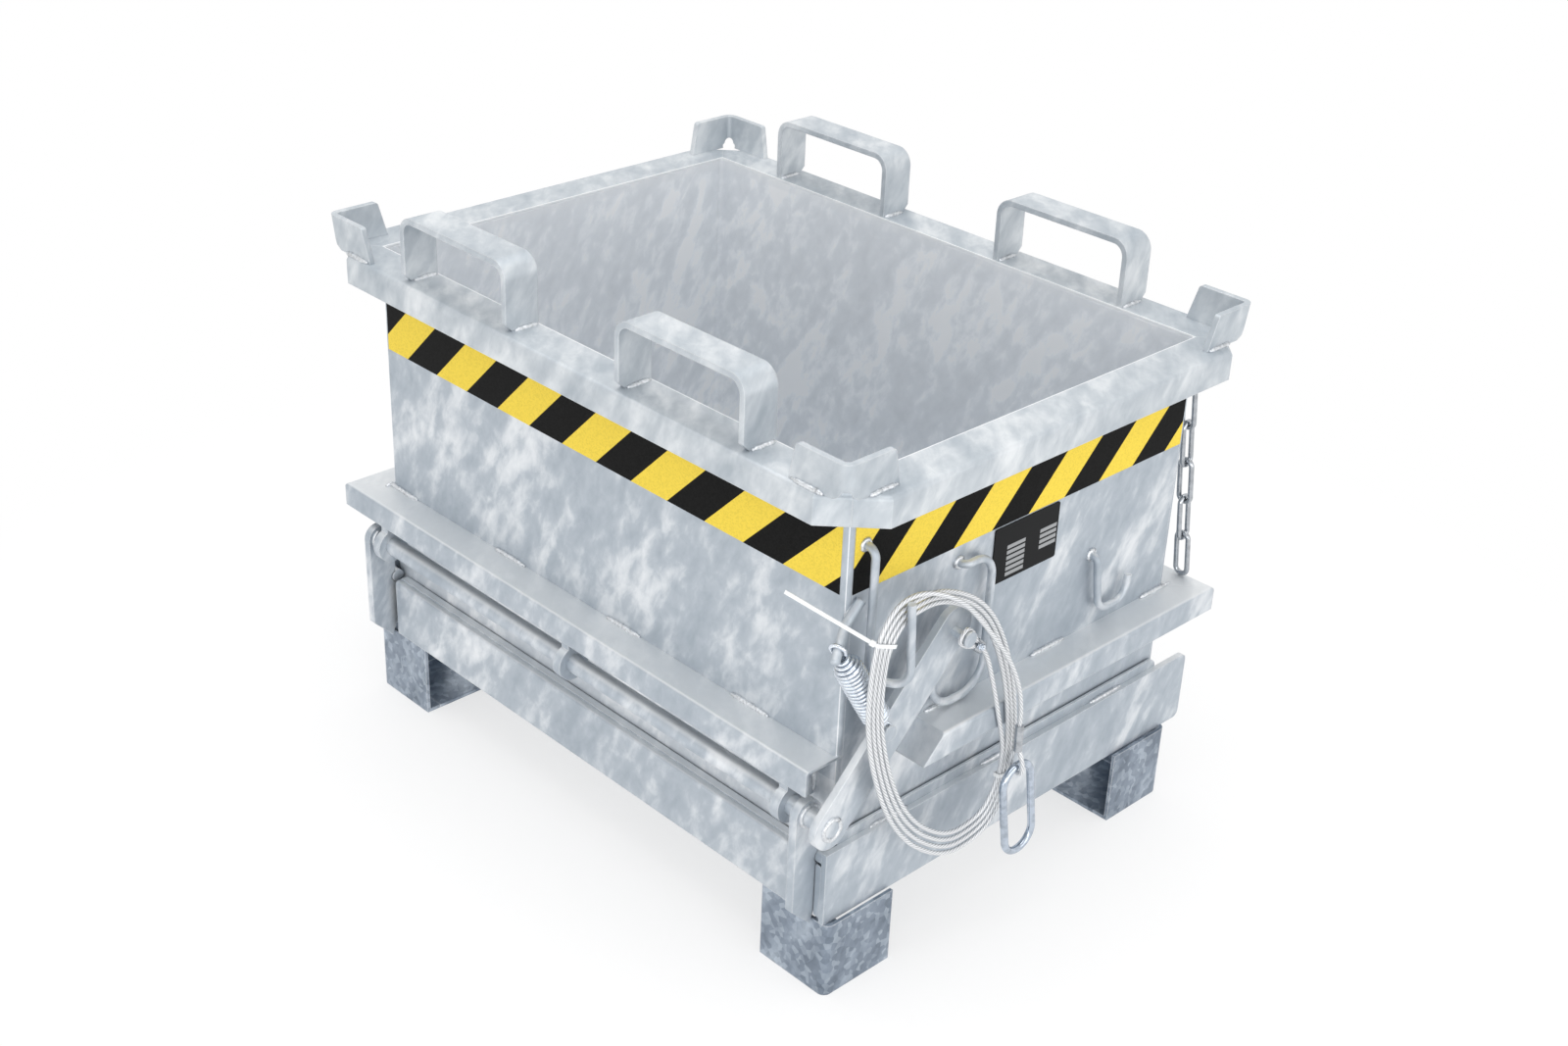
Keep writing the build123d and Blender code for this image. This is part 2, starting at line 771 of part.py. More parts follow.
up = Vector(0, 0, 1)
right = Vector(0, 1, 0)
coil_stops = []
side_way = Vector(0, 0.5, -0.866)
side_out = Vector(0, 0.866, 0.5)
for i in range(rope_loops):
    inset = (rope_loops - 1 - i) * rope_pitch
    fan = (rope_loops - 1 - i) * rope_fan
    shift = (rope_loops - 1 - i) * rope_shift
    stack = (rope_loops - 1 - i) * rope_stack
    coil_stops += [(latch_point(coil_right - inset, coil_right_rise + shift, rope_x), up * -1),
                   (latch_point(coil_low_y - shift / 2, fan - coil_low_drop, rope_x), right * -1),
                   (latch_point(coil_left + inset, coil_left_rise, rope_x), up),
                   (latch_point(coil_top_y + 2 * shift, coil_top_rise - stack, rope_x), right)]
    if i < rope_loops - 1:
        side = latch_point(coil_side_y, coil_side_rise, rope_x)
        coil_stops.append((side - side_out * (inset - rope_pitch), side_way))
start_point, start_way = coil_stops[0]
coil_stops.insert(0, (start_point - start_way * rope, start_way))
over_x = rope_x + rope + eye_radius + tie_sheet + 1
end_way = Vector(0, 0.03, -1).normalized()
coil_end = latch_point(coil_end_y, coil_end_rise, over_x)
coil_stops += [(latch_point(coil_over_y, coil_over_rise, over_x), Vector(0, 0.66, -0.75).normalized()),
               (latch_point(coil_free_y, coil_free_rise, over_x), Vector(0, 0.45, -0.893).normalized()),
               (coil_end, end_way), (coil_end + end_way * rope, end_way)]
coil, coil_edges = tube(coil_stops, rope)
save(coil, "rope_coil")
print("coil self gap", round(self_gap(coil_edges, rope, 2.0), 2))


def eye(centre, out, side):
    """Rope eye round a bar, both strands side by side at the mouth."""
    strand = rope / 2 + 0.3
    mouth = centre + out * eye_length
    return [(mouth + side * strand, out * -1), (centre + side * eye_radius, out * -1),
            (centre - out * eye_radius, side * -1), (centre - side * eye_radius, out),
            (mouth - side * strand, out)]


# Rope eye and clip on the lever, then the slack lead down to the coil

rope_pin_front = Vector(rope_x, rope_pin.Y, rope_pin.Z)
lead_out = Vector(0, 0.76, -0.65).normalized()
lead_side = Vector(1, 0, 0).cross(lead_out).normalized()
lever_eye, lever_eye_edges = tube(eye(rope_pin_front, lead_out, lead_side), rope)
save(lever_eye, "rope_eye_lever")
print("lever eye self gap", round(self_gap(lever_eye_edges, rope, 1.0), 2))


def sleeve(start, out, side, length, wide, thick):
    with BuildPart() as clip:
        with BuildSketch(Plane(origin=start, x_dir=side, z_dir=out)):
            RectangleRounded(wide, thick, thick / 2 - 0.5)
        extrude(amount=length)
    return clip.part


clip_start = rope_pin_front + lead_out * eye_length
save(sleeve(clip_start, lead_out, lead_side, clip_length, 2 * rope + 4, rope + 3), "rope_clip")
lead_start = clip_start + lead_out * clip_length
lead_end = coil_stops[0][0]
lead_points = [lead_start, lead_start + lead_out * 16,
               lead_end + Vector(0, -25, 92), lead_end + Vector(0, 0, 12), lead_end]
lead_radii = []
for a, b, c in zip(lead_points, lead_points[1:], lead_points[2:]):
    bend_angle = math.acos(max(-1, min(1, (b - a).normalized().dot((c - b).normalized()))))
    lead_radii.append(0.45 * min((b - a).length, (c - b).length) / math.tan(bend_angle / 2))
print("lead radii", [round(r, 1) for r in lead_radii])
save(bent_bar(lead_points, lead_radii, rope), "rope_lead")


# Ferrule, end eye and pull ring at the free end

ferrule_start = coil_stops[-1][0]
with BuildPart() as ferrule_tube:
    with BuildSketch(Plane(origin=ferrule_start, z_dir=end_way)):
        Circle(ferrule / 2)
    extrude(amount=ferrule_length)
    chamfer(ferrule_tube.edges(), 1)
save(ferrule_tube.part, "rope_ferrule")
ring_eye = ferrule_start + end_way * (ferrule_length + eye_length)
cross_side = Vector(1, 0, 0)
end_eye, end_eye_edges = tube(eye(ring_eye, end_way * -1, cross_side), rope)
save(end_eye, "rope_eye_ring")
print("ring eye self gap", round(self_gap(end_eye_edges, rope, 1.0), 2))
ring_way = Vector(0, 0.167, -0.986).normalized()
ring_side = cross_side.cross(ring_way)
ring_r = (ring_width - ring_bar) / 2
ring_top = ring_eye + end_way * (eye_radius - rope / 2 - ring_bar / 2 - 0.5)
ring_head = ring_top + ring_way * ring_r
ring_foot = ring_head + ring_way * (ring_height - ring_width)
ring_stops = [(ring_top, ring_side), (ring_head + ring_side * ring_r, ring_way),
              (ring_foot + ring_side * ring_r, ring_way), (ring_foot + ring_way * ring_r, ring_side * -1),
              (ring_foot - ring_side * ring_r, ring_way * -1),
              (ring_head - ring_side * ring_r, ring_way * -1), (ring_top, ring_side)]
pull_ring, ring_edges = tube(ring_stops, ring_bar)
save(pull_ring, "pull_ring")


# Ties round the bunched loops


def tie(first, part, tail_way, tail_length):
    strands = [coil_edges[2 * (first + 5 * i)] for i in range(rope_loops)]
    way = strands[1] % part
    spread = (strands[-1] @ part) - (strands[0] @ part)
    spread = spread - way * spread.dot(way)
    middle = (strands[0] @ part) + spread * 0.5
    wide = spread.length + rope + 2
    deep = rope + 0.6
    with BuildPart() as band:
        with BuildSketch(Plane(origin=middle, x_dir=spread, z_dir=way)):
            RectangleRounded(wide + 2 * tie_sheet, deep + 2 * tie_sheet, tie_sheet + 1)
            RectangleRounded(wide, deep, 1, mode=Mode.SUBTRACT)
        extrude(amount=tie_width / 2, both=True)
        if tail_length:
            start = middle + spread.normalized() * (wide / 2 + tie_sheet / 2)
            with BuildSketch(Plane(origin=start, x_dir=way, z_dir=tail_way)):
                Rectangle(tie_width, tie_sheet)
            extrude(amount=tail_length)
    return band.part


save(tie(3, 0.85, Vector(-0.835, -0.409, 0.365).normalized(), 115), "rope_tie_upper")
save(tie(1, 0.5, up, 0), "rope_tie_lower")


# Hazard tapes and the blank type plate

with BuildPart() as tape_front:
    with BuildSketch(Plane.XZ.offset(by)):
        with Locations((0, rim_top - tape_drop + tape_height / 2)):
            Rectangle(body_length - 2 * body_bend, tape_height)
    extrude(amount=tape_sheet)
save(tape_front.part, "tape_front")

with BuildPart() as tape_end:
    with BuildSketch(Plane.YZ.offset(bx)):
        with Locations((0, rim_top - tape_drop + tape_height / 2)):
            Rectangle(body_width - 2 * body_bend, tape_height)
        with Locations((shaft_y + front_hook_y, shaft_z + front_foot_rise)):
            Circle(hook_bar / 2 + 1, mode=Mode.SUBTRACT)
    extrude(amount=tape_sheet)
save(tape_end.part, "tape_latch_side")

with BuildPart() as type_plate:
    with BuildSketch(Plane.YZ.offset(bx)):
        with Locations((0, rim_top - tape_drop - plate_under_tape - plate_height / 2)):
            RectangleRounded(plate_length, plate_height, 3)
    extrude(amount=plate_sheet)
save(type_plate.part, "type_plate")


# Safety chain hung from a staple on the back wall

chain_x = bx - chain_end
chain_y = by + chain_out
staple_z = rim_top - staple_drop
staple_low = staple_z - staple_gap / 2
staple_top = staple_z + staple_gap / 2
staple_y = by + staple_reach
staple = bent_bar(
    [Vector(chain_x, by, staple_low), Vector(chain_x, staple_y, staple_low),
     Vector(chain_x, staple_y, staple_top), Vector(chain_x, by, staple_top)],
    staple_bar * 0.75, staple_bar)
save(staple, "chain_staple")

link_radius = (chain_width - chain_bar) / 2
chain_top = staple_low + staple_bar / 2 + chain_bar / 2 + chain_play
chain_down = Vector(chain_lean_x, chain_lean_y, collar_top - chain_top).normalized()
chain_up = chain_down * -1
link_side = chain_up.cross(Vector(1, 0, 0)).normalized()
link_ways = (link_side.cross(chain_up), link_side)
step = ((chain_top - collar_top) / chain_up.Z - 1.5 * chain_bar - 3 * chain_play) / chain_links
link_half = (step + chain_bar + chain_play) / 2
with BuildPart() as chain:
    for i in range(chain_links):
        centre = Vector(chain_x, chain_y, chain_top) + chain_down * (link_half + i * step)
        flat = link_ways[i % 2]
        run = link_half - link_radius
        with BuildLine():
            biarcs([(centre + chain_up * link_half, flat),
                    (centre + chain_up * run + flat * link_radius, chain_down),
                    (centre - chain_up * run + flat * link_radius, chain_down),
                    (centre - chain_up * link_half, flat * -1),
                    (centre - chain_up * run - flat * link_radius, chain_up),
                    (centre + chain_up * run - flat * link_radius, chain_up),
                    (centre + chain_up * link_half, flat)])
        with BuildSketch(Plane(origin=centre + chain_up * link_half, z_dir=flat)):
            Circle(chain_bar / 2)
        sweep()
save(chain.part, "safety_chain")
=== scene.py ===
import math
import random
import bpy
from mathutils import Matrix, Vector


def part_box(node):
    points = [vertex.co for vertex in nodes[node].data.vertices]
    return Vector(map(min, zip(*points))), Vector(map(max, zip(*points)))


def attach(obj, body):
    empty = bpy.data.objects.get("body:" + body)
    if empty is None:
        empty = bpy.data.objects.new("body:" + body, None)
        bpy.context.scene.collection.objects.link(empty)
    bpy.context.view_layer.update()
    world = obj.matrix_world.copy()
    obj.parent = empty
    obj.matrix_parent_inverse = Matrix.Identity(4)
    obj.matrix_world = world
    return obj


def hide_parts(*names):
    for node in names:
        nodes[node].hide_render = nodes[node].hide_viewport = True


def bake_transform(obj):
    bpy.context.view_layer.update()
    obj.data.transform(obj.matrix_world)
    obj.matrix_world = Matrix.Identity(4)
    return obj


bl_info = {
    "name": "Bottom-opening container",
    "version": (1, 0, 0),
    "blender": (4, 5, 0),
    "location": "View3D > Sidebar > Container",
    "description": "Finishes the galvanised bottom-opening container on its CAD frame",
    "category": "Object",
}

import bmesh
import bpy
from bpy.props import FloatProperty, FloatVectorProperty, PointerProperty
from mathutils import Matrix, Vector

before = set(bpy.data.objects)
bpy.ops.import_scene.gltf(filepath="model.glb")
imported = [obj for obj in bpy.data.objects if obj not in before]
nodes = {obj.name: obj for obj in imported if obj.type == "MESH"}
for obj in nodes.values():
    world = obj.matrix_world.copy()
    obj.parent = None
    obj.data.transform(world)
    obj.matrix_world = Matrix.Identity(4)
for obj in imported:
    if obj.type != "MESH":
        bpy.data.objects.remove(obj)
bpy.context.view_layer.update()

MM = 0.001
TURN = 2 * math.pi
UP = Vector((0, 0, 1))
RIGHT = Vector((1, 0, 0))


def linear(text):
    """Linear colour, with alpha, of an sRGB hex value."""
    parts = [int(text[i:i + 2], 16) / 255 for i in (1, 3, 5)]
    return tuple(p / 12.92 if p <= 0.04045 else ((p + 0.055) / 1.055) ** 2.4 for p in parts) + (1.0,)


def dimmed(tone, share):
    """The same colour at a share of its brightness."""
    return tuple(part * share for part in tone[:3]) + (1.0,)


def colour_setting(name, description, text):
    return FloatVectorProperty(name=name, description=description, subtype="COLOR", size=4,
                               min=0.0, max=1.0, default=linear(text))


def length_setting(name, description, millimetres):
    return FloatProperty(name=name, description=description, unit="LENGTH", min=0.0,
                         default=millimetres * MM, precision=4)


def power_setting(name, description, watts):
    return FloatProperty(name=name, description=description, unit="POWER", default=watts)


class ContainerFinish(bpy.types.PropertyGroup):
    zinc_pale: colour_setting("Zinc, pale", "Bright strokes of the hot-dip zinc", "#E6E9EC")
    zinc_mid: colour_setting("Zinc, middle", "Main tone of the hot-dip zinc", "#B6BEC6")
    zinc_dark: colour_setting("Zinc, dark", "Dull drifts of the hot-dip zinc", "#A8B1BA")
    # Painted light: a paler colour for zinc faces that look up
    zinc_painted_top_light: colour_setting("Zinc top light, painted", "Painted light on zinc faces that look up", "#F0F2F3")
    # Painted highlight: a paler colour along edges and along the mouth
    zinc_painted_highlight: colour_setting("Zinc edge", "Painted highlight along edges and the mouth", "#EEF0F2")
    bar_pale: colour_setting("Bar zinc, pale", "Bright strokes on rim, loops and corners", "#E6E9EB")
    bar_mid: colour_setting("Bar zinc, middle", "Main tone of rim, loops and corners", "#C5CBD0")
    bar_dark: colour_setting("Bar zinc, dark", "Dull drifts on rim, loops and corners", "#B0B8BF")
    foot_pale: colour_setting("Feet, pale", "Bright flakes on the feet", "#C6D0DA")
    foot_mid: colour_setting("Feet, middle", "Main tone of the feet", "#909BA9")
    foot_dark: colour_setting("Feet, dark", "Dull flakes on the feet", "#66717E")
    bright: colour_setting("Bright plating", "Plated chain, clip and ferrule", "#BDC1C6")
    polish: colour_setting("Polished plating", "Plated spring and clip screw", "#E6EDF6")
    ring: colour_setting("Ring plating", "Plated pull ring", "#C3CDDA")
    weld: colour_setting("Weld zinc", "Thick, bright zinc on the weld beads", "#E9ECEF")
    wire: colour_setting("Rope wire", "Crowns of the rope strands", "#DFE1E3")
    # Painted shade in the valleys between the rope strands
    wire_gap_shade: colour_setting("Rope gaps", "Gaps between the rope strands", "#7F838A")
    tape_yellow: colour_setting("Tape yellow", "Light stripes of the hazard tape", "#E9CD4E")
    tape_black: colour_setting("Tape black", "Dark stripes of the hazard tape", "#080808")
    plate_black: colour_setting("Plate black", "Anodised face of the type plate", "#101113")
    plate_field: colour_setting("Plate fields", "Bare fields of the type plate", "#A9ABAD")
    tie_white: colour_setting("Tie white", "Nylon of the ties", "#E9EBEC")


class ContainerSizes(bpy.types.PropertyGroup):
    rope: length_setting("Rope diameter", "Outside of the clear sheath", 6.0)
    rope_lay: length_setting("Rope lay", "Length in which a strand goes once round", 42.0)
    stripe: length_setting("Stripe pitch", "One yellow and one black stripe along the tape", 133.6)
    bead: length_setting("Weld bead", "Half width of a weld bead", 3.8)
    ripple: length_setting("Weld ripple", "Spacing of the ripples on a bead", 4.0)


class ContainerStage(bpy.types.PropertyGroup):
    camera_place: FloatVectorProperty(
        name="Camera place", description="Where the camera stands", subtype="TRANSLATION", unit="LENGTH",
        size=3, default=(1.8018, -1.7639, 1.7013))
    camera_look: FloatVectorProperty(
        name="Camera look", description="Direction of the camera's axis", subtype="DIRECTION", size=3,
        default=(-0.62402557, 0.62208735, -0.47286301))
    camera_roll: FloatProperty(
        name="Camera roll", description="Turn of the picture about the axis", subtype="ANGLE",
        default=math.radians(2.46))
    camera_lens: FloatProperty(
        name="Camera lens", description="Focal length on a 36 mm wide sensor", unit="CAMERA", default=47.82)
    key_power: power_setting("Key light", "Power of the large soft lamp overhead", 72.0)
    front_power: power_setting("Front light", "Power of the low lamp before the front", 5.5)
    side_power: power_setting("Side light", "Power of the lamp on the latch side", 17.0)
    fill_power: power_setting("Fill light", "Power of the soft lamp before the corner", 15.5)
    sky: FloatProperty(name="Room light", description="Strength of the even light all round", default=0.9)


def add(tree, kind, links=None, stops=(), **settings):
    """Adds a node, sets it up and feeds its inputs with values, sockets or other nodes' main outputs."""
    made = tree.nodes.new(kind)
    for key, value in settings.items():
        setattr(made, key, value)
    for socket, source in (links or {}).items():
        if isinstance(source, bpy.types.Node):
            source = next(output for output in source.outputs if output.enabled)
        if isinstance(source, bpy.types.NodeSocket):
            tree.links.new(source, made.inputs[socket])
        else:
            made.inputs[socket].default_value = source
    for i, (place, colour) in enumerate(stops):
        elements = made.color_ramp.elements
        stop = elements[i] if i < len(elements) else elements.new(place)
        stop.position, stop.color = place, colour
    return made


def fresh_material(name):
    material = bpy.data.materials.new(name)
    material.use_nodes = True
    material.node_tree.nodes.clear()
    return material, material.node_tree


def per_metre(millimetres):
    """Texture scale whose features are about this size."""
    return 1000 / millimetres


# Where the zinc differs, in millimetres from the middle of the footprint
INSIDE = (442.5, 307.5, 114.0)    # half way into the walls, and just over the floor plate
COVERED = (446.0, -309.0, 297.0)  # front wall below the collar, behind the latch shaft
COVERED_DEPTH = 1.5
MOUTH = (673.0, 677.0)            # height at which the painted highlight of the rim's rounded inner bend begins
# How the run-off strokes lie: over the slant, down along it and round the corner of the box
STROKE_WAYS = ((0.835, 0.835, -0.55), (0.27, 0.27, 0.42), (0.45, -0.45, 0.0))
# Painted fill light that lifts the colour indoors, and the share of it behind the latch shaft
PAINTED_FILL_TONE = (0.38, 0.355, 0.33, 1.0)
COVERED_FILL_SHARE = 0.4


# Hot-dip zinc on sheet steel: a pale, dull metal. The run-off leaves soft, puffy strokes on a slant,
# gathered in bright and dull drifts, with spangle crystals and a painted highlight along the edges.
# Inside the box and behind the latch shaft the colour is painted paler to lift the shade there, a painted
# highlight runs along the mouth for the rim's rounded bend, and faces that look up get painted light.
def hot_dip_zinc(name, finish, kind, stroke_mm, spangle_mm, spangle_share, painted_top_light, roughness):
    pale, mid, dark = (tuple(getattr(finish, f"{kind}_{tone}")) for tone in ("pale", "mid", "dark"))
    material, tree = fresh_material(name)
    surface = add(tree, "ShaderNodeTexCoord")
    place = surface.outputs["Object"]
    ways = [add(tree, "ShaderNodeVectorMath", {0: place, 1: way}, operation="DOT_PRODUCT")
            for way in STROKE_WAYS]
    slant = add(tree, "ShaderNodeCombineXYZ", dict(zip("XYZ", ways)))
    strokes = add(tree, "ShaderNodeTexNoise",
                  {"Vector": slant, "Scale": per_metre(stroke_mm), "Detail": 4.0, "Roughness": 0.55,
                   "Distortion": 0.25})
    trail = add(tree, "ShaderNodeVectorMath", {0: slant, 1: (1.0, 0.5, 0.5)}, operation="MULTIPLY")
    drifts = add(tree, "ShaderNodeTexNoise",
                 {"Vector": trail, "Scale": per_metre(stroke_mm * 3.8), "Detail": 3.0, "Roughness": 0.55,
                  "Distortion": 0.5})
    mixed = add(tree, "ShaderNodeMix", {"Factor": 0.5, "A": strokes, "B": drifts}, data_type="FLOAT")
    tone = add(tree, "ShaderNodeValToRGB", {"Fac": mixed},
               stops=[(0.35, dark), (0.49, mid), (0.66, pale)])
    cloud = add(tree, "ShaderNodeMapRange",
                {"Value": drifts, "From Min": 0.52, "From Max": 0.72, "To Max": 0.75})
    puff = add(tree, "ShaderNodeMapRange",
               {"Value": strokes, "From Min": 0.38, "From Max": 0.6, "To Min": 0.25})
    cloud = add(tree, "ShaderNodeMath", {0: cloud, 1: puff}, operation="MULTIPLY")
    tone = add(tree, "ShaderNodeMix", {"Factor": cloud, "A": tone, "B": pale}, data_type="RGBA")
    flakes = add(tree, "ShaderNodeTexVoronoi", {"Vector": place, "Scale": per_metre(spangle_mm)})
    flake = add(tree, "ShaderNodeSeparateColor", {"Color": flakes.outputs["Color"]}).outputs["Red"]
    flake_tone = add(tree, "ShaderNodeValToRGB", {"Fac": flake},
                     stops=[(0.0, dark), (0.55, mid), (1.0, pale)])
    spangled = add(tree, "ShaderNodeMix", {"Factor": spangle_share, "A": tone, "B": flake_tone},
                   data_type="RGBA")

    reach = add(tree, "ShaderNodeVectorMath", {0: place}, operation="ABSOLUTE")
    reach = add(tree, "ShaderNodeSeparateXYZ", {"Vector": reach}).outputs
    along = add(tree, "ShaderNodeMath", {0: reach["X"], 1: INSIDE[0] * MM}, operation="LESS_THAN")
    across = add(tree, "ShaderNodeMath", {0: reach["Y"], 1: INSIDE[1] * MM}, operation="LESS_THAN")
    above = add(tree, "ShaderNodeMath", {0: reach["Z"], 1: INSIDE[2] * MM}, operation="GREATER_THAN")
    walled = add(tree, "ShaderNodeMath", {0: along, 1: across}, operation="MULTIPLY")
    indoors = add(tree, "ShaderNodeMath", {0: walled, 1: above}, operation="MULTIPLY")
    outdoors = add(tree, "ShaderNodeMath", {0: 1.0, 1: walled}, operation="SUBTRACT")
    depth = add(tree, "ShaderNodeSeparateXYZ", {"Vector": place}).outputs["Y"]
    front = add(tree, "ShaderNodeMath", {0: depth, 1: COVERED[1] * MM, 2: COVERED_DEPTH * MM},
                operation="COMPARE")
    below = add(tree, "ShaderNodeMath", {0: reach["Z"], 1: COVERED[2] * MM}, operation="LESS_THAN")
    between = add(tree, "ShaderNodeMath", {0: reach["X"], 1: COVERED[0] * MM}, operation="LESS_THAN")
    covered = add(tree, "ShaderNodeMath", {0: front, 1: below}, operation="MULTIPLY")
    covered = add(tree, "ShaderNodeMath", {0: covered, 1: between}, operation="MULTIPLY")
    # Painted fill light: the colour is lifted inside the box and, at a share, behind the latch shaft, to
    # brighten the shade there
    painted_fill = add(tree, "ShaderNodeMath", {0: covered, 1: COVERED_FILL_SHARE, 2: indoors},
                    operation="MULTIPLY_ADD")
    painted_tone = add(tree, "ShaderNodeMix", {"Factor": painted_fill, "A": spangled, "B": PAINTED_FILL_TONE},
               data_type="RGBA", blend_type="ADD", clamp_result=True)

    # Painted light: faces that look up, outside the box, are made paler as if lit from above
    facing = add(tree, "ShaderNodeSeparateXYZ", {"Vector": surface.outputs["Normal"]}).outputs["Z"]
    painted_top_share = add(tree, "ShaderNodeMapRange",
                  {"Value": facing, "From Min": 0.6, "From Max": 0.95, "To Max": painted_top_light})
    painted_top_share = add(tree, "ShaderNodeMath", {0: painted_top_share, 1: outdoors}, operation="MULTIPLY")
    painted_tone = add(tree, "ShaderNodeMix", {"Factor": painted_top_share, "A": painted_tone, "B": tuple(finish.zinc_painted_top_light)},
               data_type="RGBA")
    # Painted highlights: a band along the mouth stands in for the rim's rounded inner bend, and edges found
    # by the bevel are made paler
    mouth = add(tree, "ShaderNodeMapRange",
                {"Value": reach["Z"], "From Min": MOUTH[0] * MM, "From Max": MOUTH[1] * MM, "To Max": 0.5})
    mouth = add(tree, "ShaderNodeMath", {0: mouth, 1: indoors}, operation="MULTIPLY")
    rounded = add(tree, "ShaderNodeBevel", {"Radius": 2.2 * MM}, samples=4)
    flat = add(tree, "ShaderNodeNewGeometry").outputs["Normal"]
    level = add(tree, "ShaderNodeVectorMath", {0: rounded, 1: flat}, operation="DOT_PRODUCT")
    edge = add(tree, "ShaderNodeMapRange",
               {"Value": level, "From Min": 0.995, "From Max": 0.8, "To Max": 0.6})
    edge = add(tree, "ShaderNodeMath", {0: edge, 1: outdoors}, operation="MULTIPLY")
    painted_highlight = add(tree, "ShaderNodeMath", {0: edge, 1: mouth}, operation="MAXIMUM")
    colour = add(tree, "ShaderNodeMix", {"Factor": painted_highlight, "A": painted_tone, "B": tuple(finish.zinc_painted_highlight)},
                 data_type="RGBA")
    gloss = add(tree, "ShaderNodeMapRange",
                {"Value": mixed, "From Min": 0.3, "From Max": 0.7, "To Min": roughness + 0.1,
                 "To Max": roughness - 0.08})
    grain = add(tree, "ShaderNodeTexNoise", {"Vector": place, "Scale": per_metre(2.4), "Detail": 3.0})
    wave = add(tree, "ShaderNodeBump",
               {"Strength": 0.16, "Distance": 1.4 * MM, "Height": strokes, "Normal": rounded})
    dust = add(tree, "ShaderNodeBump",
               {"Strength": 0.05, "Distance": 0.3 * MM, "Height": grain, "Normal": wave})
    shader = add(tree, "ShaderNodeBsdfPrincipled",
                 {"Base Color": colour, "Metallic": 0.7, "Roughness": gloss, "Normal": dust})
    add(tree, "ShaderNodeOutputMaterial", {"Surface": shader})
    return material


# Bright zinc plating on wire and round bar: a mirror-like grey with faint drawing marks and dull spots.
def bright_plating(name, tone, roughness, spot_mm=9):
    material, tree = fresh_material(name)
    place = add(tree, "ShaderNodeTexCoord").outputs["Object"]
    spots = add(tree, "ShaderNodeTexNoise", {"Vector": place, "Scale": per_metre(spot_mm), "Detail": 4.0})
    colour = add(tree, "ShaderNodeValToRGB", {"Fac": spots}, stops=[(0.3, dimmed(tone, 0.72)), (0.62, tone)])
    gloss = add(tree, "ShaderNodeMapRange",
                {"Value": spots, "To Min": roughness + 0.12, "To Max": roughness - 0.06})
    marks = add(tree, "ShaderNodeTexNoise", {"Vector": place, "Scale": per_metre(1.6), "Detail": 2.0})
    bump = add(tree, "ShaderNodeBump", {"Strength": 0.05, "Distance": 0.2 * MM, "Height": marks})
    shader = add(tree, "ShaderNodeBsdfPrincipled",
                 {"Base Color": colour, "Metallic": 1.0, "Roughness": gloss, "Normal": bump})
    add(tree, "ShaderNodeOutputMaterial", {"Surface": shader})
    return material


STRANDS = 6
WIRE_MM = 2.2
WIRES_ROUND = 18.0


# Steel wire rope in a clear PVC sheath: six strands laid in a slow spiral show through a glossy skin,
# and the fine wires cross them the other way; the valleys between strands and wires get painted shade.
def sheathed_rope(name, crown, gap_shade, lay):
    material, tree = fresh_material(name)
    run = add(tree, "ShaderNodeTexCoord").outputs["UV"]
    run = add(tree, "ShaderNodeSeparateXYZ", {"Vector": run}).outputs
    waves = []
    for along, around in ((STRANDS / lay, STRANDS), (per_metre(WIRE_MM), -WIRES_ROUND)):
        turns = add(tree, "ShaderNodeMath", {0: run["X"], 1: along}, operation="MULTIPLY")
        phase = add(tree, "ShaderNodeMath", {0: run["Y"], 1: around, 2: turns}, operation="MULTIPLY_ADD")
        angle = add(tree, "ShaderNodeMath", {0: phase, 1: TURN}, operation="MULTIPLY")
        waves.append(add(tree, "ShaderNodeMath", {0: angle}, operation="COSINE"))
    both = add(tree, "ShaderNodeMath", {0: waves[1], 1: 0.28, 2: waves[0]}, operation="MULTIPLY_ADD")
    share = add(tree, "ShaderNodeMapRange", {"Value": both, "From Min": -1.0, "From Max": 1.2})
    # Painted shade: the valleys between strands and wires are coloured darker
    colour = add(tree, "ShaderNodeValToRGB", {"Fac": share}, stops=[(0.0, crown), (0.55, crown), (1.0, gap_shade)])
    bump = add(tree, "ShaderNodeBump", {"Strength": 0.25, "Distance": 0.3 * MM, "Height": both}, invert=True)
    shader = add(tree, "ShaderNodeBsdfPrincipled",
                 {"Base Color": colour, "Metallic": 0.4, "Roughness": 0.3, "Coat Weight": 0.9,
                  "Coat Roughness": 0.08, "Coat IOR": 1.53, "Normal": bump})
    add(tree, "ShaderNodeOutputMaterial", {"Surface": shader})
    return material


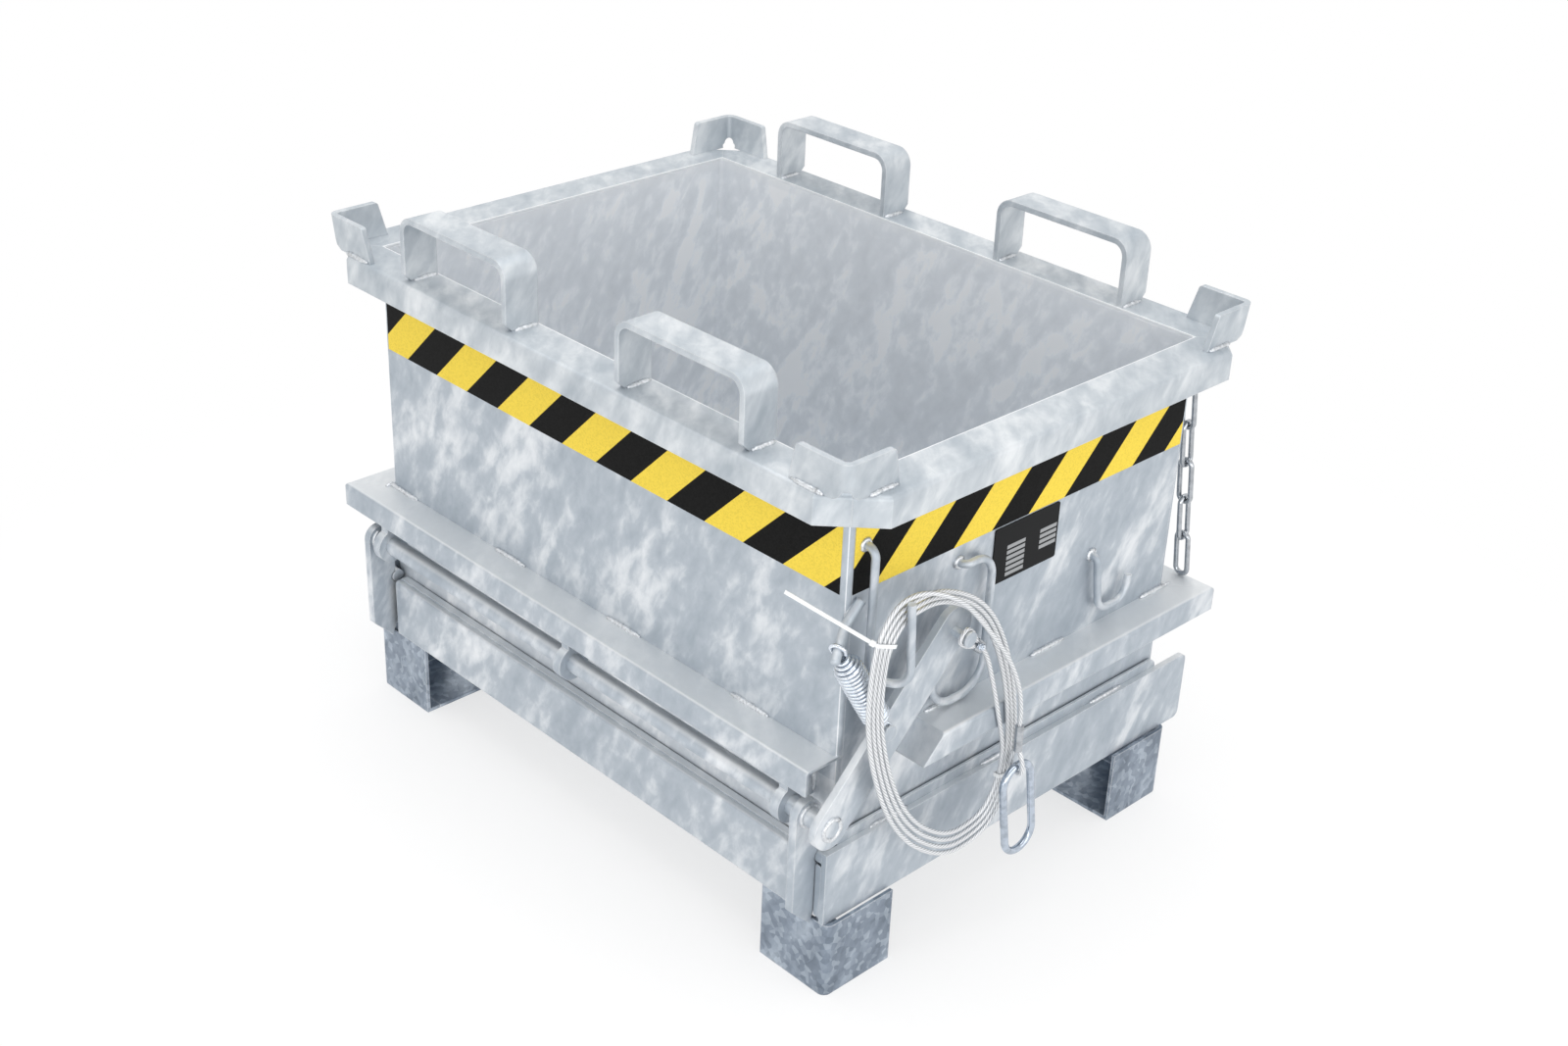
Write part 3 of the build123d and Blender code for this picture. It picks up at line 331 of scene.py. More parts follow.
# Reflective hazard tape: printed stripes at 45 degrees on a film with fine glass-bead grain.
def hazard_tape(name, along, yellow, black, pitch, start):
    material, tree = fresh_material(name)
    place = add(tree, "ShaderNodeTexCoord").outputs["Object"]
    split = add(tree, "ShaderNodeSeparateXYZ", {"Vector": place}).outputs
    slid = add(tree, "ShaderNodeMath", {0: split[along], 1: split["Z"]}, operation="SUBTRACT")
    steps = add(tree, "ShaderNodeMath", {0: slid, 1: 1 / pitch, 2: -start / pitch}, operation="MULTIPLY_ADD")
    part = add(tree, "ShaderNodeMath", {0: steps}, operation="FRACT")
    dark = add(tree, "ShaderNodeMapRange", {"Value": part, "From Min": 0.498, "From Max": 0.502})
    beads = add(tree, "ShaderNodeTexVoronoi", {"Vector": place, "Scale": per_metre(1.8)})
    bead = add(tree, "ShaderNodeSeparateColor", {"Color": beads.outputs["Color"]}).outputs["Red"]
    light = add(tree, "ShaderNodeValToRGB", {"Fac": bead}, stops=[(0.0, dimmed(yellow, 0.88)), (0.6, yellow)])
    grey = tuple(channel + 0.005 for channel in black[:3]) + (1.0,)
    deep = add(tree, "ShaderNodeValToRGB", {"Fac": bead}, stops=[(0.0, black), (1.0, grey)])
    colour = add(tree, "ShaderNodeMix", {"Factor": dark, "A": light, "B": deep}, data_type="RGBA")
    bump = add(tree, "ShaderNodeBump",
               {"Strength": 0.12, "Distance": 0.2 * MM, "Height": beads.outputs["Distance"]})
    shader = add(tree, "ShaderNodeBsdfPrincipled",
                 {"Base Color": colour, "Roughness": 0.5, "Specular IOR Level": 0.07, "Normal": bump})
    add(tree, "ShaderNodeOutputMaterial", {"Surface": shader})
    return material


# Anodised aluminium for the plate and moulded nylon for the ties: a fine grain with a slightly uneven gloss.
def plain_finish(name, tone, shade, roughness, metallic, grain_mm):
    material, tree = fresh_material(name)
    place = add(tree, "ShaderNodeTexCoord").outputs["Object"]
    grain = add(tree, "ShaderNodeTexNoise", {"Vector": place, "Scale": per_metre(grain_mm), "Detail": 4.0})
    colour = add(tree, "ShaderNodeValToRGB", {"Fac": grain}, stops=[(0.3, dimmed(tone, shade)), (0.7, tone)])
    gloss = add(tree, "ShaderNodeMapRange",
                {"Value": grain, "To Min": roughness - 0.08, "To Max": roughness + 0.08})
    bump = add(tree, "ShaderNodeBump", {"Strength": 0.05, "Distance": 0.1 * MM, "Height": grain})
    shader = add(tree, "ShaderNodeBsdfPrincipled",
                 {"Base Color": colour, "Metallic": metallic, "Roughness": gloss,
                  "Specular IOR Level": 0.12, "Normal": bump})
    add(tree, "ShaderNodeOutputMaterial", {"Surface": shader})
    return material


def dress(names, material):
    """Gives CAD nodes their finish."""
    for name in names:
        slots = nodes[name].data.materials
        slots.clear()
        slots.append(material)


def piece(name, bm, material, smooth=True):
    """Turns a bmesh into a finished piece at the origin."""
    mesh = bpy.data.meshes.new(name)
    bm.to_mesh(mesh)
    bm.free()
    for face in mesh.polygons:
        face.use_smooth = smooth
    mesh.materials.append(material)
    made = bpy.data.objects.new(name, mesh)
    bpy.context.scene.collection.objects.link(made)
    return made


def add_box(bm, size, place):
    """Adds a box of this size, set in place by a matrix."""
    made = bmesh.ops.create_cube(bm, size=1.0)["verts"]
    bmesh.ops.scale(bm, verts=made, vec=size)
    bmesh.ops.transform(bm, verts=made, matrix=place)


def round_off(bm, edges, millimetres, segments):
    bmesh.ops.bevel(bm, geom=edges, offset=millimetres * MM, segments=segments, profile=0.5,
                    affect="EDGES", material=-1)


def line_of(controls):
    """Points along the smooth line of a rope whose route has these points."""
    curve = bpy.data.curves.new("route", "CURVE")
    curve.dimensions = "3D"
    spline = curve.splines.new("NURBS")
    spline.points.add(len(controls) - 1)
    for point, place in zip(spline.points, controls):
        point.co = (*place, 1.0)
    spline.order_u = 3
    spline.use_endpoint_u = True
    spline.resolution_u = 20
    holder = bpy.data.objects.new("route", curve)
    bpy.context.scene.collection.objects.link(holder)
    mesh = bpy.data.meshes.new_from_object(holder)
    points = [v.co.copy() for v in mesh.vertices]
    bpy.data.objects.remove(holder)
    bpy.data.curves.remove(curve)
    bpy.data.meshes.remove(mesh)
    return points


def lengths_along(points):
    run = [0.0]
    for a, b in zip(points, points[1:]):
        run.append(run[-1] + (b - a).length)
    return run


def roll_tube(bm, points, sides, radius, closed=False):
    """Rolls a grid into a tube along points; radius(along, turn) is its half width there."""
    uv = bm.loops.layers.uv.verify()
    run = lengths_along(points)
    count = len(points) - 1
    rings = []
    side = None
    for i, point in enumerate(points):
        before = points[i - 1] if i else (points[-2] if closed else points[0])
        after = points[i + 1] if i < count else (points[1] if closed else points[-1])
        way = (after - before).normalized()
        side = way.orthogonal() if side is None else side
        side = (side - way * side.dot(way)).normalized()
        rings.append((point, side, way.cross(side)))
    made = bmesh.ops.create_grid(bm, x_segments=count, y_segments=sides, size=0.5)["verts"]
    spots = {}
    for vert in made:
        i, j = round((vert.co.x + 0.5) * count), round((vert.co.y + 0.5) * sides)
        spots[vert] = (i, j)
        point, side, up = rings[i]
        turn = TURN * j / sides
        vert.co = point + (side * math.cos(turn) + up * math.sin(turn)) * radius(run[i], j / sides)
    for face in {f for vert in made for f in vert.link_faces}:
        for loop in face.loops:
            i, j = spots[loop.vert]
            loop[uv].uv = (run[i], j / sides)
    bmesh.ops.remove_doubles(bm, verts=made, dist=1e-6)
    if not closed:
        rims = [e for e in bm.edges if e.is_boundary]
        bmesh.ops.holes_fill(bm, edges=rims, sides=0)


def close_up(bm):
    bmesh.ops.recalc_face_normals(bm, faces=bm.faces)
    return bm


# Rope: stops of its route repeated from the part, in millimetres, in the plane the coil hangs in
ROPE_X = 496.4
LEAD = [(-129.77, 433.12), (-117.61, 422.72), (-93.7, 351.0), (-68.7, 271.0), (-68.7, 259.0)]
# Furthest right, lowest, furthest left and highest stop of each turn, from the inner one outwards
TURNS = [((-68.7, 253.0), (-121.5, 176.0), (-296.3, 456.0), (-243.0, 526.6)),
         ((-61.8, 250.0), (-120.0, 166.0), (-303.2, 456.0), (-249.0, 534.4)),
         ((-54.9, 247.0), (-118.5, 156.0), (-310.1, 456.0), (-255.0, 542.2)),
         ((-48.0, 244.0), (-117.0, 146.0), (-317.0, 456.0), (-261.0, 550.0))]
# Slanted run down to the next turn
SIDES = [(-113.95, 446.1), (-107.98, 449.55), (-102.0, 453.0)]
SIDE_WAY = Vector((0, 0.5, -0.866))
# The free end lifts off, comes out over the coil and down its right side to the ferrule
FREE_LIFT = Vector((4, 0, 0))
FREE_END = [((514.3, -173.0, 507.0), (0, 0.66, -0.75)), ((514.3, -79.0, 378.0), (0, 0.45, -0.893)),
            ((514.3, -63.0, 310.0), (0, 0.03, -1.0)), ((514.3, -62.82, 304.0), (0, 0.03, -1.0))]
# Eyes: middles, half width of the loop, length to the clip and half the room between the strands
LEVER_EYE, RING_EYE = (496.4, -157.126, 456.521), (514.3, -61.021, 244.03)
EYE_RADIUS, EYE_LENGTH, EYE_STRAND = 9.6 * MM, 22 * MM, 3.3 * MM
ROPE_SIDES = 30
STRAND_DEPTH = 0.05


def on_coil(stop):
    return Vector((ROPE_X, *stop))


def quarter_turn(start, end, corner):
    """Three route points that carry a loose quarter turn round its inner corner."""
    first, last = start - corner, end - corner
    reach = 1 / math.cos(math.radians(15))
    angles = [math.radians(degrees) for degrees in (15, 45, 75)]
    return [corner + (first * math.cos(a) + last * math.sin(a)) * reach for a in angles]


def bend_points(start, start_way, end, end_way):
    """Two route points that lead out of one stop and into the next."""
    start_way, end_way = start_way.normalized(), end_way.normalized()
    span = end - start
    turn = 2 * (1 - start_way.dot(end_way))
    reach = span.dot(start_way + end_way)
    arm = span.dot(span) / (reach + math.sqrt(reach * reach + turn * span.dot(span)))
    return [start + start_way * arm, end - end_way * arm]


def coil_route():
    right_way = Vector((0, 1, 0))
    route = [on_coil(LEAD[-1]), on_coil(LEAD[-1]) - UP * 3]
    for i, stops in enumerate(TURNS):
        right, low, left, top = (on_coil(stop) for stop in stops)
        route += quarter_turn(right, low, Vector((ROPE_X, low.y, right.z)))
        route += quarter_turn(low, left, Vector((ROPE_X, low.y, left.z)))
        route += quarter_turn(left, top, Vector((ROPE_X, top.y, left.z)))
        if i < len(SIDES):
            side = on_coil(SIDES[i])
            route += bend_points(top, right_way, side, SIDE_WAY)
            route += bend_points(side, SIDE_WAY, on_coil(TURNS[i + 1][0]), -UP)
    last, way, lift = top, right_way, FREE_LIFT
    for stop, stop_way in FREE_END:
        stop, stop_way = Vector(stop), Vector(stop_way)
        first, second = bend_points(last, way, stop, stop_way)
        route += [first + lift, second]
        last, way, lift = stop, stop_way, Vector()
    return [p * MM for p in route + [last]]


def eye_route(centre, out, side):
    """Route of a rope eye: out of the clip, round the bar and back into the clip."""
    mouth, radius = centre + out * EYE_LENGTH, EYE_RADIUS
    return [mouth + side * EYE_STRAND, centre + out * radius * 1.2 + side * radius * 0.86,
            centre + side * radius * 1.02, centre - out * radius + side * radius * 0.9,
            centre - out * radius - side * radius * 0.9, centre - side * radius * 1.02,
            centre + out * radius * 1.2 - side * radius * 0.86, mouth - side * EYE_STRAND]


def rope_piece(name, points, sizes, material):
    half, lay = sizes.rope / 2, sizes.rope_lay

    def strands(along, turn):
        return half * (1 - STRAND_DEPTH * (0.5 + 0.5 * math.cos(TURN * STRANDS * (turn + along / lay))))

    bm = bmesh.new()
    roll_tube(bm, points, ROPE_SIDES, strands)
    made = piece(name, close_up(bm), material)
    return made


class CONTAINER_OT_rope(bpy.types.Operator):
    """Lay the wire rope: the eye on the lever, the slack lead, the hanging coil and the end eye"""
    bl_idname = "container.rope"
    bl_label = "Wire rope"

    def execute(self, context):
        finish, sizes = context.scene.container_finish, context.scene.container_sizes
        material = sheathed_rope("Sheathed wire rope", tuple(finish.wire), tuple(finish.wire_gap_shade),
                                 sizes.rope_lay)
        lead_line = line_of([on_coil(stop) * MM for stop in LEAD])
        lead = rope_piece("rope_lead_strands", lead_line, sizes, material)
        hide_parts("rope_lead")
        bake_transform(lead)
        coil_line = line_of(coil_route())
        coil = rope_piece("rope_coil_strands", coil_line, sizes, material)
        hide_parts("rope_coil")
        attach(coil, "container")
        lead_out = Vector((0, 0.76, -0.65)).normalized()
        end_out = Vector((0, -0.03, 1)).normalized()
        for label, body, node, centre, out, side in (
                ("rope_eye_lever_strands", "latch", "rope_eye_lever", LEVER_EYE, lead_out,
                 RIGHT.cross(lead_out)),
                ("rope_eye_ring_strands", "container", "rope_eye_ring", RING_EYE, end_out, RIGHT)):
            line = line_of(eye_route(Vector(centre) * MM, out, side))
            eye = rope_piece(label, line, sizes, material)
            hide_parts(node)
            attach(eye, body)
        return {"FINISHED"}


# Tension spring, in millimetres: the middles of its two eyes and the way the bar in the upper one runs
SPRING_TOP = Vector((461.18, -334.72, 493.28))
SPRING_FOOT = Vector((480.5, -269.92, 369.58))
SPRING_BAR = Vector((16, -31, -31))
SPRING_WIRE = 5.0
SPRING_EYE = 9.2
SPRING_COIL = 15.5
SPRING_THROAT = 5.0
# Whole turns, turns in each tapered end, and where the ends start and stop along the spring
SPRING_TURNS = 22
SPRING_TAPER = 3.5
SPRING_NECK, SPRING_SHOULDER = 12.0, 28.0
SPRING_STEPS = 20
SPRING_SIDES = 12


def spring_line():
    """Points along the wire: an eye, turns that widen, close coils, turns that narrow, an eye."""
    axis = (SPRING_FOOT - SPRING_TOP).normalized()
    side = axis.cross(SPRING_BAR).normalized()
    round_way = axis.cross(side)
    foot_side = axis.cross(RIGHT).normalized()
    whole = (SPRING_FOOT - SPRING_TOP).length
    turns = SPRING_TURNS + math.atan2(foot_side.dot(round_way), foot_side.dot(side)) / TURN
    stages = [(0.0, 0.0, SPRING_EYE), (0.0, SPRING_NECK, SPRING_THROAT),
              (SPRING_TAPER, SPRING_SHOULDER, SPRING_COIL),
              (turns - SPRING_TAPER, whole - SPRING_SHOULDER, SPRING_COIL),
              (turns, whole - SPRING_NECK, SPRING_THROAT), (turns, whole, SPRING_EYE)]
    bends = [math.radians(degrees) for degrees in range(225, 0, -15)]
    points = [SPRING_TOP + (side * math.cos(a) - axis * math.sin(a)) * SPRING_EYE for a in bends]
    for (turn, at, radius), (next_turn, next_at, next_radius) in zip(stages, stages[1:]):
        count = max(3, round((next_turn - turn) * SPRING_STEPS))
        for k in range(count):
            part = k / count
            angle = TURN * (turn + (next_turn - turn) * part)
            out = side * math.cos(angle) + round_way * math.sin(angle)
            points.append(SPRING_TOP + axis * (at + (next_at - at) * part)
                          + out * (radius + (next_radius - radius) * part))
    points += [SPRING_FOOT + (foot_side * math.cos(a) + axis * math.sin(a)) * SPRING_EYE
               for a in [0.0] + bends[::-1]]
    return [point * MM for point in points]


class CONTAINER_OT_spring(bpy.types.Operator):
    """Stretch the tension spring between its bar and the lever"""
    bl_idname = "container.spring"
    bl_label = "Tension spring"

    def execute(self, context):
        finish = context.scene.container_finish
        material = bright_plating("Plated spring wire", tuple(finish.polish), 0.16)
        bm = bmesh.new()
        roll_tube(bm, spring_line(), SPRING_SIDES, lambda along, turn: SPRING_WIRE / 2 * MM)
        spring = piece("tension_spring_wire", close_up(bm), material)
        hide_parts("tension_spring")
        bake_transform(spring)
        return {"FINISHED"}


class CONTAINER_OT_steel(bpy.types.Operator):
    """Give the sheet, bar and plate of the container their zinc"""
    bl_idname = "container.steel"
    bl_label = "Galvanised steel"

    def execute(self, context):
        finish = context.scene.container_finish
        zinc = hot_dip_zinc("Hot-dip zinc", finish, "zinc", stroke_mm=23, spangle_mm=11, spangle_share=0.06,
                            painted_top_light=0.72, roughness=0.5)
        bar_zinc = hot_dip_zinc("Hot-dip zinc on bar", finish, "bar", stroke_mm=26, spangle_mm=11,
                                spangle_share=0.05, painted_top_light=0.0, roughness=0.56)
        foot_zinc = hot_dip_zinc("Hot-dip zinc, fresh spangle", finish, "foot", stroke_mm=30, spangle_mm=8,
                                 spangle_share=0.4, painted_top_light=0.0, roughness=0.34)
        feet = [name for name in nodes if name.startswith("foot_")]
        bars = [name for name in nodes if name.startswith(("rim_", "fork_loop_", "stack_corner_"))]
        bright = ["safety_chain", "rope_clip", "rope_ferrule"]
        other = ["tension_spring", "rope_lead", "rope_coil", "rope_eye_lever", "rope_eye_ring", "pull_ring",
                 "rope_tie_upper", "rope_tie_lower", "tape_front", "tape_latch_side", "type_plate"]
        dress(feet, foot_zinc)
        dress(bars, bar_zinc)
        dress([name for name in nodes if name not in feet + bars + bright + other], zinc)
        dress(bright, bright_plating("Bright zinc plating", tuple(finish.bright), 0.18))
        dress(["pull_ring"], bright_plating("Polished zinc plating", tuple(finish.ring), 0.12))
        return {"FINISHED"}


# Strip and gussets of the flap's skirt, in millimetres: thickness, room to wall and hooks, room to ears
PLATE = 2.0
PLATE_ROOM = 1.2
EAR_ROOM = 0.2


class CONTAINER_OT_skirt_strip(bpy.types.Operator):
    """Close the cracks round the flap's skirt with a strip on top and plates round the hooks"""
    bl_idname = "container.skirt_strip"
    bl_label = "Skirt strip and gussets"

    def execute(self, context):
        low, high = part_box("front_skirt")
        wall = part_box("front_wall")[0].y - PLATE_ROOM * MM
        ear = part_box("ear_latch_side")[0].x - EAR_ROOM * MM
        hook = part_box("hook_right")[1].x + PLATE_ROOM * MM
        floor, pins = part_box("floor_plate")[1].z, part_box("catch_pins")[0].z
        end = high.x - MM
        corners = [((low.x + MM, high.y - 3 * MM, high.z - 0.1 * MM),
                    (end, wall, high.z + (PLATE - 0.1) * MM))]
        for side in (-1, 1):
            inner, outer = sorted((side * end, side * ear))
            corners.append(((inner, wall - PLATE * MM, floor), (outer, wall, pins - 2 * MM)))
            inner, outer = sorted((side * hook, side * ear))
            corners.append(((inner, low.y + 0.5 * MM, floor), (outer, low.y + 3.5 * MM, pins - 0.5 * MM)))
        bm = bmesh.new()
        for start, stop in corners:
            start, stop = Vector(start), Vector(stop)
            add_box(bm, stop - start, Matrix.Translation((start + stop) / 2))
        round_off(bm, bm.edges[:], 0.6, 2)
        strip = piece("front_skirt_strip", close_up(bm), bpy.data.materials["Hot-dip zinc"], smooth=False)
        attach(strip, "flap")
        return {"FINISHED"}


# Where a yellow stripe starts on each tape, in millimetres
STRIPE_STARTS = {"front": ("X", 68.0), "latch_side": ("Y", -9.3)}
# Bare fields of the type plate, as shares of its width and height: left, right, first top and rows
FIELD_COLUMNS = ((0.205, 0.485, 0.377, 6), (0.715, 0.975, 0.364, 4))
FIELD_STEP = 0.098
FIELD_TALL = 0.066
FIELD_THICK = 0.3 * MM


class CONTAINER_OT_markings(bpy.types.Operator):
    """Print the hazard stripes and set the bare fields on the type plate"""
    bl_idname = "container.markings"
    bl_label = "Tapes and type plate"

    def execute(self, context):
        finish, sizes = context.scene.container_finish, context.scene.container_sizes
        yellow, black = tuple(finish.tape_yellow), tuple(finish.tape_black)
        for side, (along, start) in STRIPE_STARTS.items():
            tape = hazard_tape(f"Hazard tape, {side}", along, yellow, black, sizes.stripe, start * MM)
            dress([f"tape_{side}"], tape)
        face = plain_finish("Black anodised aluminium", tuple(finish.plate_black), shade=0.8, roughness=0.38,
                            metallic=0.0, grain_mm=1.2)
        dress(["type_plate"], face)
        low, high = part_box("type_plate")
        wide, tall = high.y - low.y, high.z - low.z
        bm = bmesh.new()
        for left, right, first, rows in FIELD_COLUMNS:
            size = Vector((FIELD_THICK, (right - left) * wide, FIELD_TALL * tall))
            for k in range(rows):
                drop = (first + FIELD_STEP * k + FIELD_TALL / 2) * tall
                place = Vector((high.x, low.y + (left + right) / 2 * wide, high.z - drop))
                add_box(bm, size, Matrix.Translation(place))
        round_off(bm, bm.edges[:], 0.1, 1)
        bare = plain_finish("Bare anodised aluminium", tuple(finish.plate_field), shade=0.85, roughness=0.4,
                            metallic=0.6, grain_mm=1.2)
        fields = piece("type_plate_fields", bm, bare, smooth=False)
        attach(fields, "container")
        return {"FINISHED"}


# Tie heads, in millimetres: size, and for each its middle, way of the tongue and way along the rope
TIE_HEAD = Vector((6.4, 7.0, 4.2))
TIE_HEADS = [((494.0, -315.2, 510.6), (-0.835, -0.409, 0.365), (0, 0.395, 0.919)),
             ((502.6, -60.72, 223.36), (0, 0.971, -0.237), (0, -0.237, -0.971))]


class CONTAINER_OT_ties(bpy.types.Operator):
    """Give the ties their nylon and their heads"""
    bl_idname = "container.ties"
    bl_label = "Rope ties"

    def execute(self, context):
        finish = context.scene.container_finish
        nylon = plain_finish("Moulded nylon", tuple(finish.tie_white), shade=0.9, roughness=0.4,
                             metallic=0.0, grain_mm=3)
        dress(["rope_tie_upper", "rope_tie_lower"], nylon)
        bm = bmesh.new()
        for middle, tongue, rope_way in TIE_HEADS:
            tongue = Vector(tongue).normalized()
            across = Vector(rope_way).normalized()
            out = tongue.cross(across).normalized()
            across = out.cross(tongue)
            turn = Matrix((tongue, across, out)).transposed().to_4x4()
            add_box(bm, TIE_HEAD * MM, Matrix.Translation(Vector(middle) * MM) @ turn)
        round_off(bm, bm.edges[:], 0.9, 3)
        heads = piece("rope_tie_heads", close_up(bm), nylon)
        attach(heads, "container")
        return {"FINISHED"}


# Screw of the rope clip, from the clip outwards, in millimetres: washer, nut and end of the screw,
# each with its sides, two radii, height and rounded edge
CLIP_SCREW = ((28, 4.6, 4.6, 0.9, 0.3), (6, 4.1, 4.1, 3.2, 0.4), (24, 2.0, 1.6, 1.6, 0.4))


class CONTAINER_OT_clip_screw(bpy.types.Operator):
    """Screw the rope clip together: washer, nut and the rounded end of the screw"""
    bl_idname = "container.clip_screw"
    bl_label = "Clip screw"

    def execute(self, context):
        finish = context.scene.container_finish
        low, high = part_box("rope_clip")
        middle = (low + high) / 2
        bm = bmesh.new()
        at = high.x
        for segments, radius, tip, height, rounding in CLIP_SCREW:
            made = bmesh.ops.create_cone(
                bm, cap_ends=True, segments=segments, radius1=radius * MM, radius2=tip * MM,
                depth=height * MM)["verts"]
            place = Matrix.Translation((at + height / 2 * MM, middle.y, middle.z))
            bmesh.ops.transform(bm, verts=made, matrix=place @ Matrix.Rotation(math.pi / 2, 4, "Y"))
            rims = [e for e in bm.edges
                    if e.verts[0] in made and abs(e.verts[0].co.x - e.verts[1].co.x) < 1e-6]
            round_off(bm, rims, rounding, 2)
            at += height * MM
        screw = piece("rope_clip_screw", close_up(bm),
                      bright_plating("Plated screw steel", tuple(finish.polish), 0.18), smooth=False)
        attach(screw, "latch")
        return {"FINISHED"}


# Weld beads: straight runs (start, end) and rings (centre, axis, radius), in millimetres
SEAM = 32  # half a run along a seam
COLLAR_TOP = 332
RIM_TOP = 691
LOOP_X, LOOP_LEG = 213.0, 106.0
SHAFT = (-345, 264)
RING_STEPS = 24
BEAD_SIDES = 8
SMALL_BEAD = 0.8


def container_welds():
    runs, rings = [], []
    for sy in (-1, 1):
        for x in (-LOOP_X, LOOP_X):
            for leg in (-LOOP_LEG, LOOP_LEG):
                for face in (-5.0, 5.0):
                    at = x + leg + face
                    runs.append(((at, sy * 310, RIM_TOP - 0.5), (at, sy * 345, RIM_TOP - 0.5)))
    for sy in (-1, 1):
        for x in (-415, -170, 65, 300):
            runs.append(((x - SEAM, sy * 311.5, COLLAR_TOP), (x + SEAM, sy * 311.5, COLLAR_TOP)))
    for side, seams in ((446.5, (65, 288, -130)), (-446.5, (-288, -65, 65, 288))):
        for y in seams:
            runs.append(((side, y - SEAM, COLLAR_TOP), (side, y + SEAM, COLLAR_TOP)))
    # Lugs of the latch shaft and of the hinge
    for lugs, y, low, high in (((-405, 0, 405), -312, 270, 322), ((-380, 0, 380), 311.5, 146, 208)):
        for x in lugs:
            for face in (-8.0, 8.0):
                runs.append(((x + face, y, low), (x + face, y, high)))
    # Stacking corners
    for sx in (-1, 1):
        for sy in (-1, 1):
            runs.append(((sx * 482.5, sy * 322, RIM_TOP), (sx * 482.5, sy * 280, RIM_TOP)))
            runs.append(((sx * 448, sy * 358.5, RIM_TOP), (sx * 400, sy * 358.5, RIM_TOP)))
    # Rope hooks, chain staple and spring bar
    for y, z in ((-284, 603), (-122, 522), (136, 440)):
        rings.append(((446, y, z), (1, 0, 0), 6.0))
    for z in (606, 632):
        rings.append(((428, 311, z), (0, 1, 0), 5.0))
    runs.append(((446, -310, 518), (446, -291, 537)))
    return runs, rings


def flap_welds():
    runs, rings = [], []
    for sx in (-1, 1):
        for y in (-220, -20, 197):
            runs.append(((sx * 452, y - SEAM, 208.5), (sx * 452, y + SEAM, 208.5)))
        rings.append(((sx * 450, 338, 170), (1, 0, 0), 11.0))
    for x in (-300, -100, 100, 300):
        runs.append(((x - 28, -326, 113), (x + 28, -326, 113)))
    return runs, rings


def latch_welds():
    return [], [((x, *SHAFT), (1, 0, 0), 13.5) for x in (-441, -427, 427, 441, 466, 477.5)]


def lay_bead(bm, chance, points, half, ripple, closed):
    """Rolls one bead with its ripples, slightly shaken, thinner towards open ends."""
    total = lengths_along(points)[-1]

    def width(along, turn):
        taper = 1.0 if closed else max(0.25, (1 - abs(2 * along / total - 1) ** 6)) ** 0.5
        return half * taper * (0.86 + 0.2 * abs(math.sin(math.pi * along / ripple)))

    shaken = [p + Vector([chance.uniform(-0.12, 0.12) * half for _ in range(3)]) for p in points]
    if closed:
        shaken[-1] = shaken[0]
    roll_tube(bm, shaken, BEAD_SIDES, width, closed)


class CONTAINER_OT_welds(bpy.types.Operator):
    """Lay the weld beads on the container, the flap and the latch"""
    bl_idname = "container.welds"
    bl_label = "Weld beads"

    def execute(self, context):
        finish, sizes = context.scene.container_finish, context.scene.container_sizes
        zinc = bright_plating("Zinc over weld ripples", tuple(finish.weld), 0.44, spot_mm=3)
        chance = random.Random(11)
        welds = {"container": container_welds(), "flap": flap_welds(), "latch": latch_welds()}
        for body, (runs, rings) in welds.items():
            bm = bmesh.new()
            for start, end in runs:
                start, end = Vector(start) * MM, Vector(end) * MM
                count = max(4, round((end - start).length / (sizes.ripple / 2)))
                points = [start.lerp(end, k / count) for k in range(count + 1)]
                lay_bead(bm, chance, points, sizes.bead, sizes.ripple, False)
            for centre, axis, radius in rings:
                axis = Vector(axis)
                arm = axis.orthogonal().normalized() * (radius * MM)
                points = [Vector(centre) * MM + Matrix.Rotation(TURN * k / RING_STEPS, 3, axis) @ arm
                          for k in range(RING_STEPS + 1)]
                lay_bead(bm, chance, points, sizes.bead * SMALL_BEAD, sizes.ripple, True)
            beads = piece(f"weld_beads_{body}", close_up(bm), zinc)
            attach(beads, body)
        return {"FINISHED"}


# Soft lamps: their power setting, width and height, and where they stand, in metres
LAMPS = {"key_light": ("key_power", (3.4, 3.4), (-0.1, -0.3, 4.4)),
         "front_light": ("front_power", (2.6, 0.5), (0.0, -2.8, 0.3)),
         "side_light": ("side_power", (3.0, 1.6), (2.9, 0.0, 1.0)),
         "fill_light": ("fill_power", (1.8, 1.2), (2.4, -2.4, 1.0))}
LAMP_AIM = Vector((0, 0, 0.35))
FLOOR_HALF = 30.0


# Studio floor: a white paint that takes the soft shadow under the container and fades into the backdrop.
def studio_floor(name):
    material, tree = fresh_material(name)
    place = add(tree, "ShaderNodeTexCoord").outputs["Object"]
    away = add(tree, "ShaderNodeVectorMath", {0: place}, operation="LENGTH")
    white = add(tree, "ShaderNodeMapRange",
                {"Value": away, "From Min": 0.5, "From Max": 1.4, "To Min": 0.65})
    ray = add(tree, "ShaderNodeLightPath").outputs
    seen = add(tree, "ShaderNodeMath", {0: ray["Is Camera Ray"], 1: ray["Is Glossy Ray"]},
               operation="MAXIMUM")
    seen = add(tree, "ShaderNodeMath", {0: seen, 1: ray["Is Transmission Ray"]}, operation="MAXIMUM")
    share = add(tree, "ShaderNodeMath", {0: white, 1: seen}, operation="MULTIPLY")
    paint = add(tree, "ShaderNodeBsdfDiffuse", {"Color": linear("#F7F7F7")})
    glow = add(tree, "ShaderNodeEmission", {"Color": linear("#FFFFFF"), "Strength": 1.0})
    both = add(tree, "ShaderNodeMixShader", {0: share, 1: paint, 2: glow})
    add(tree, "ShaderNodeOutputMaterial", {"Surface": both})
    return material


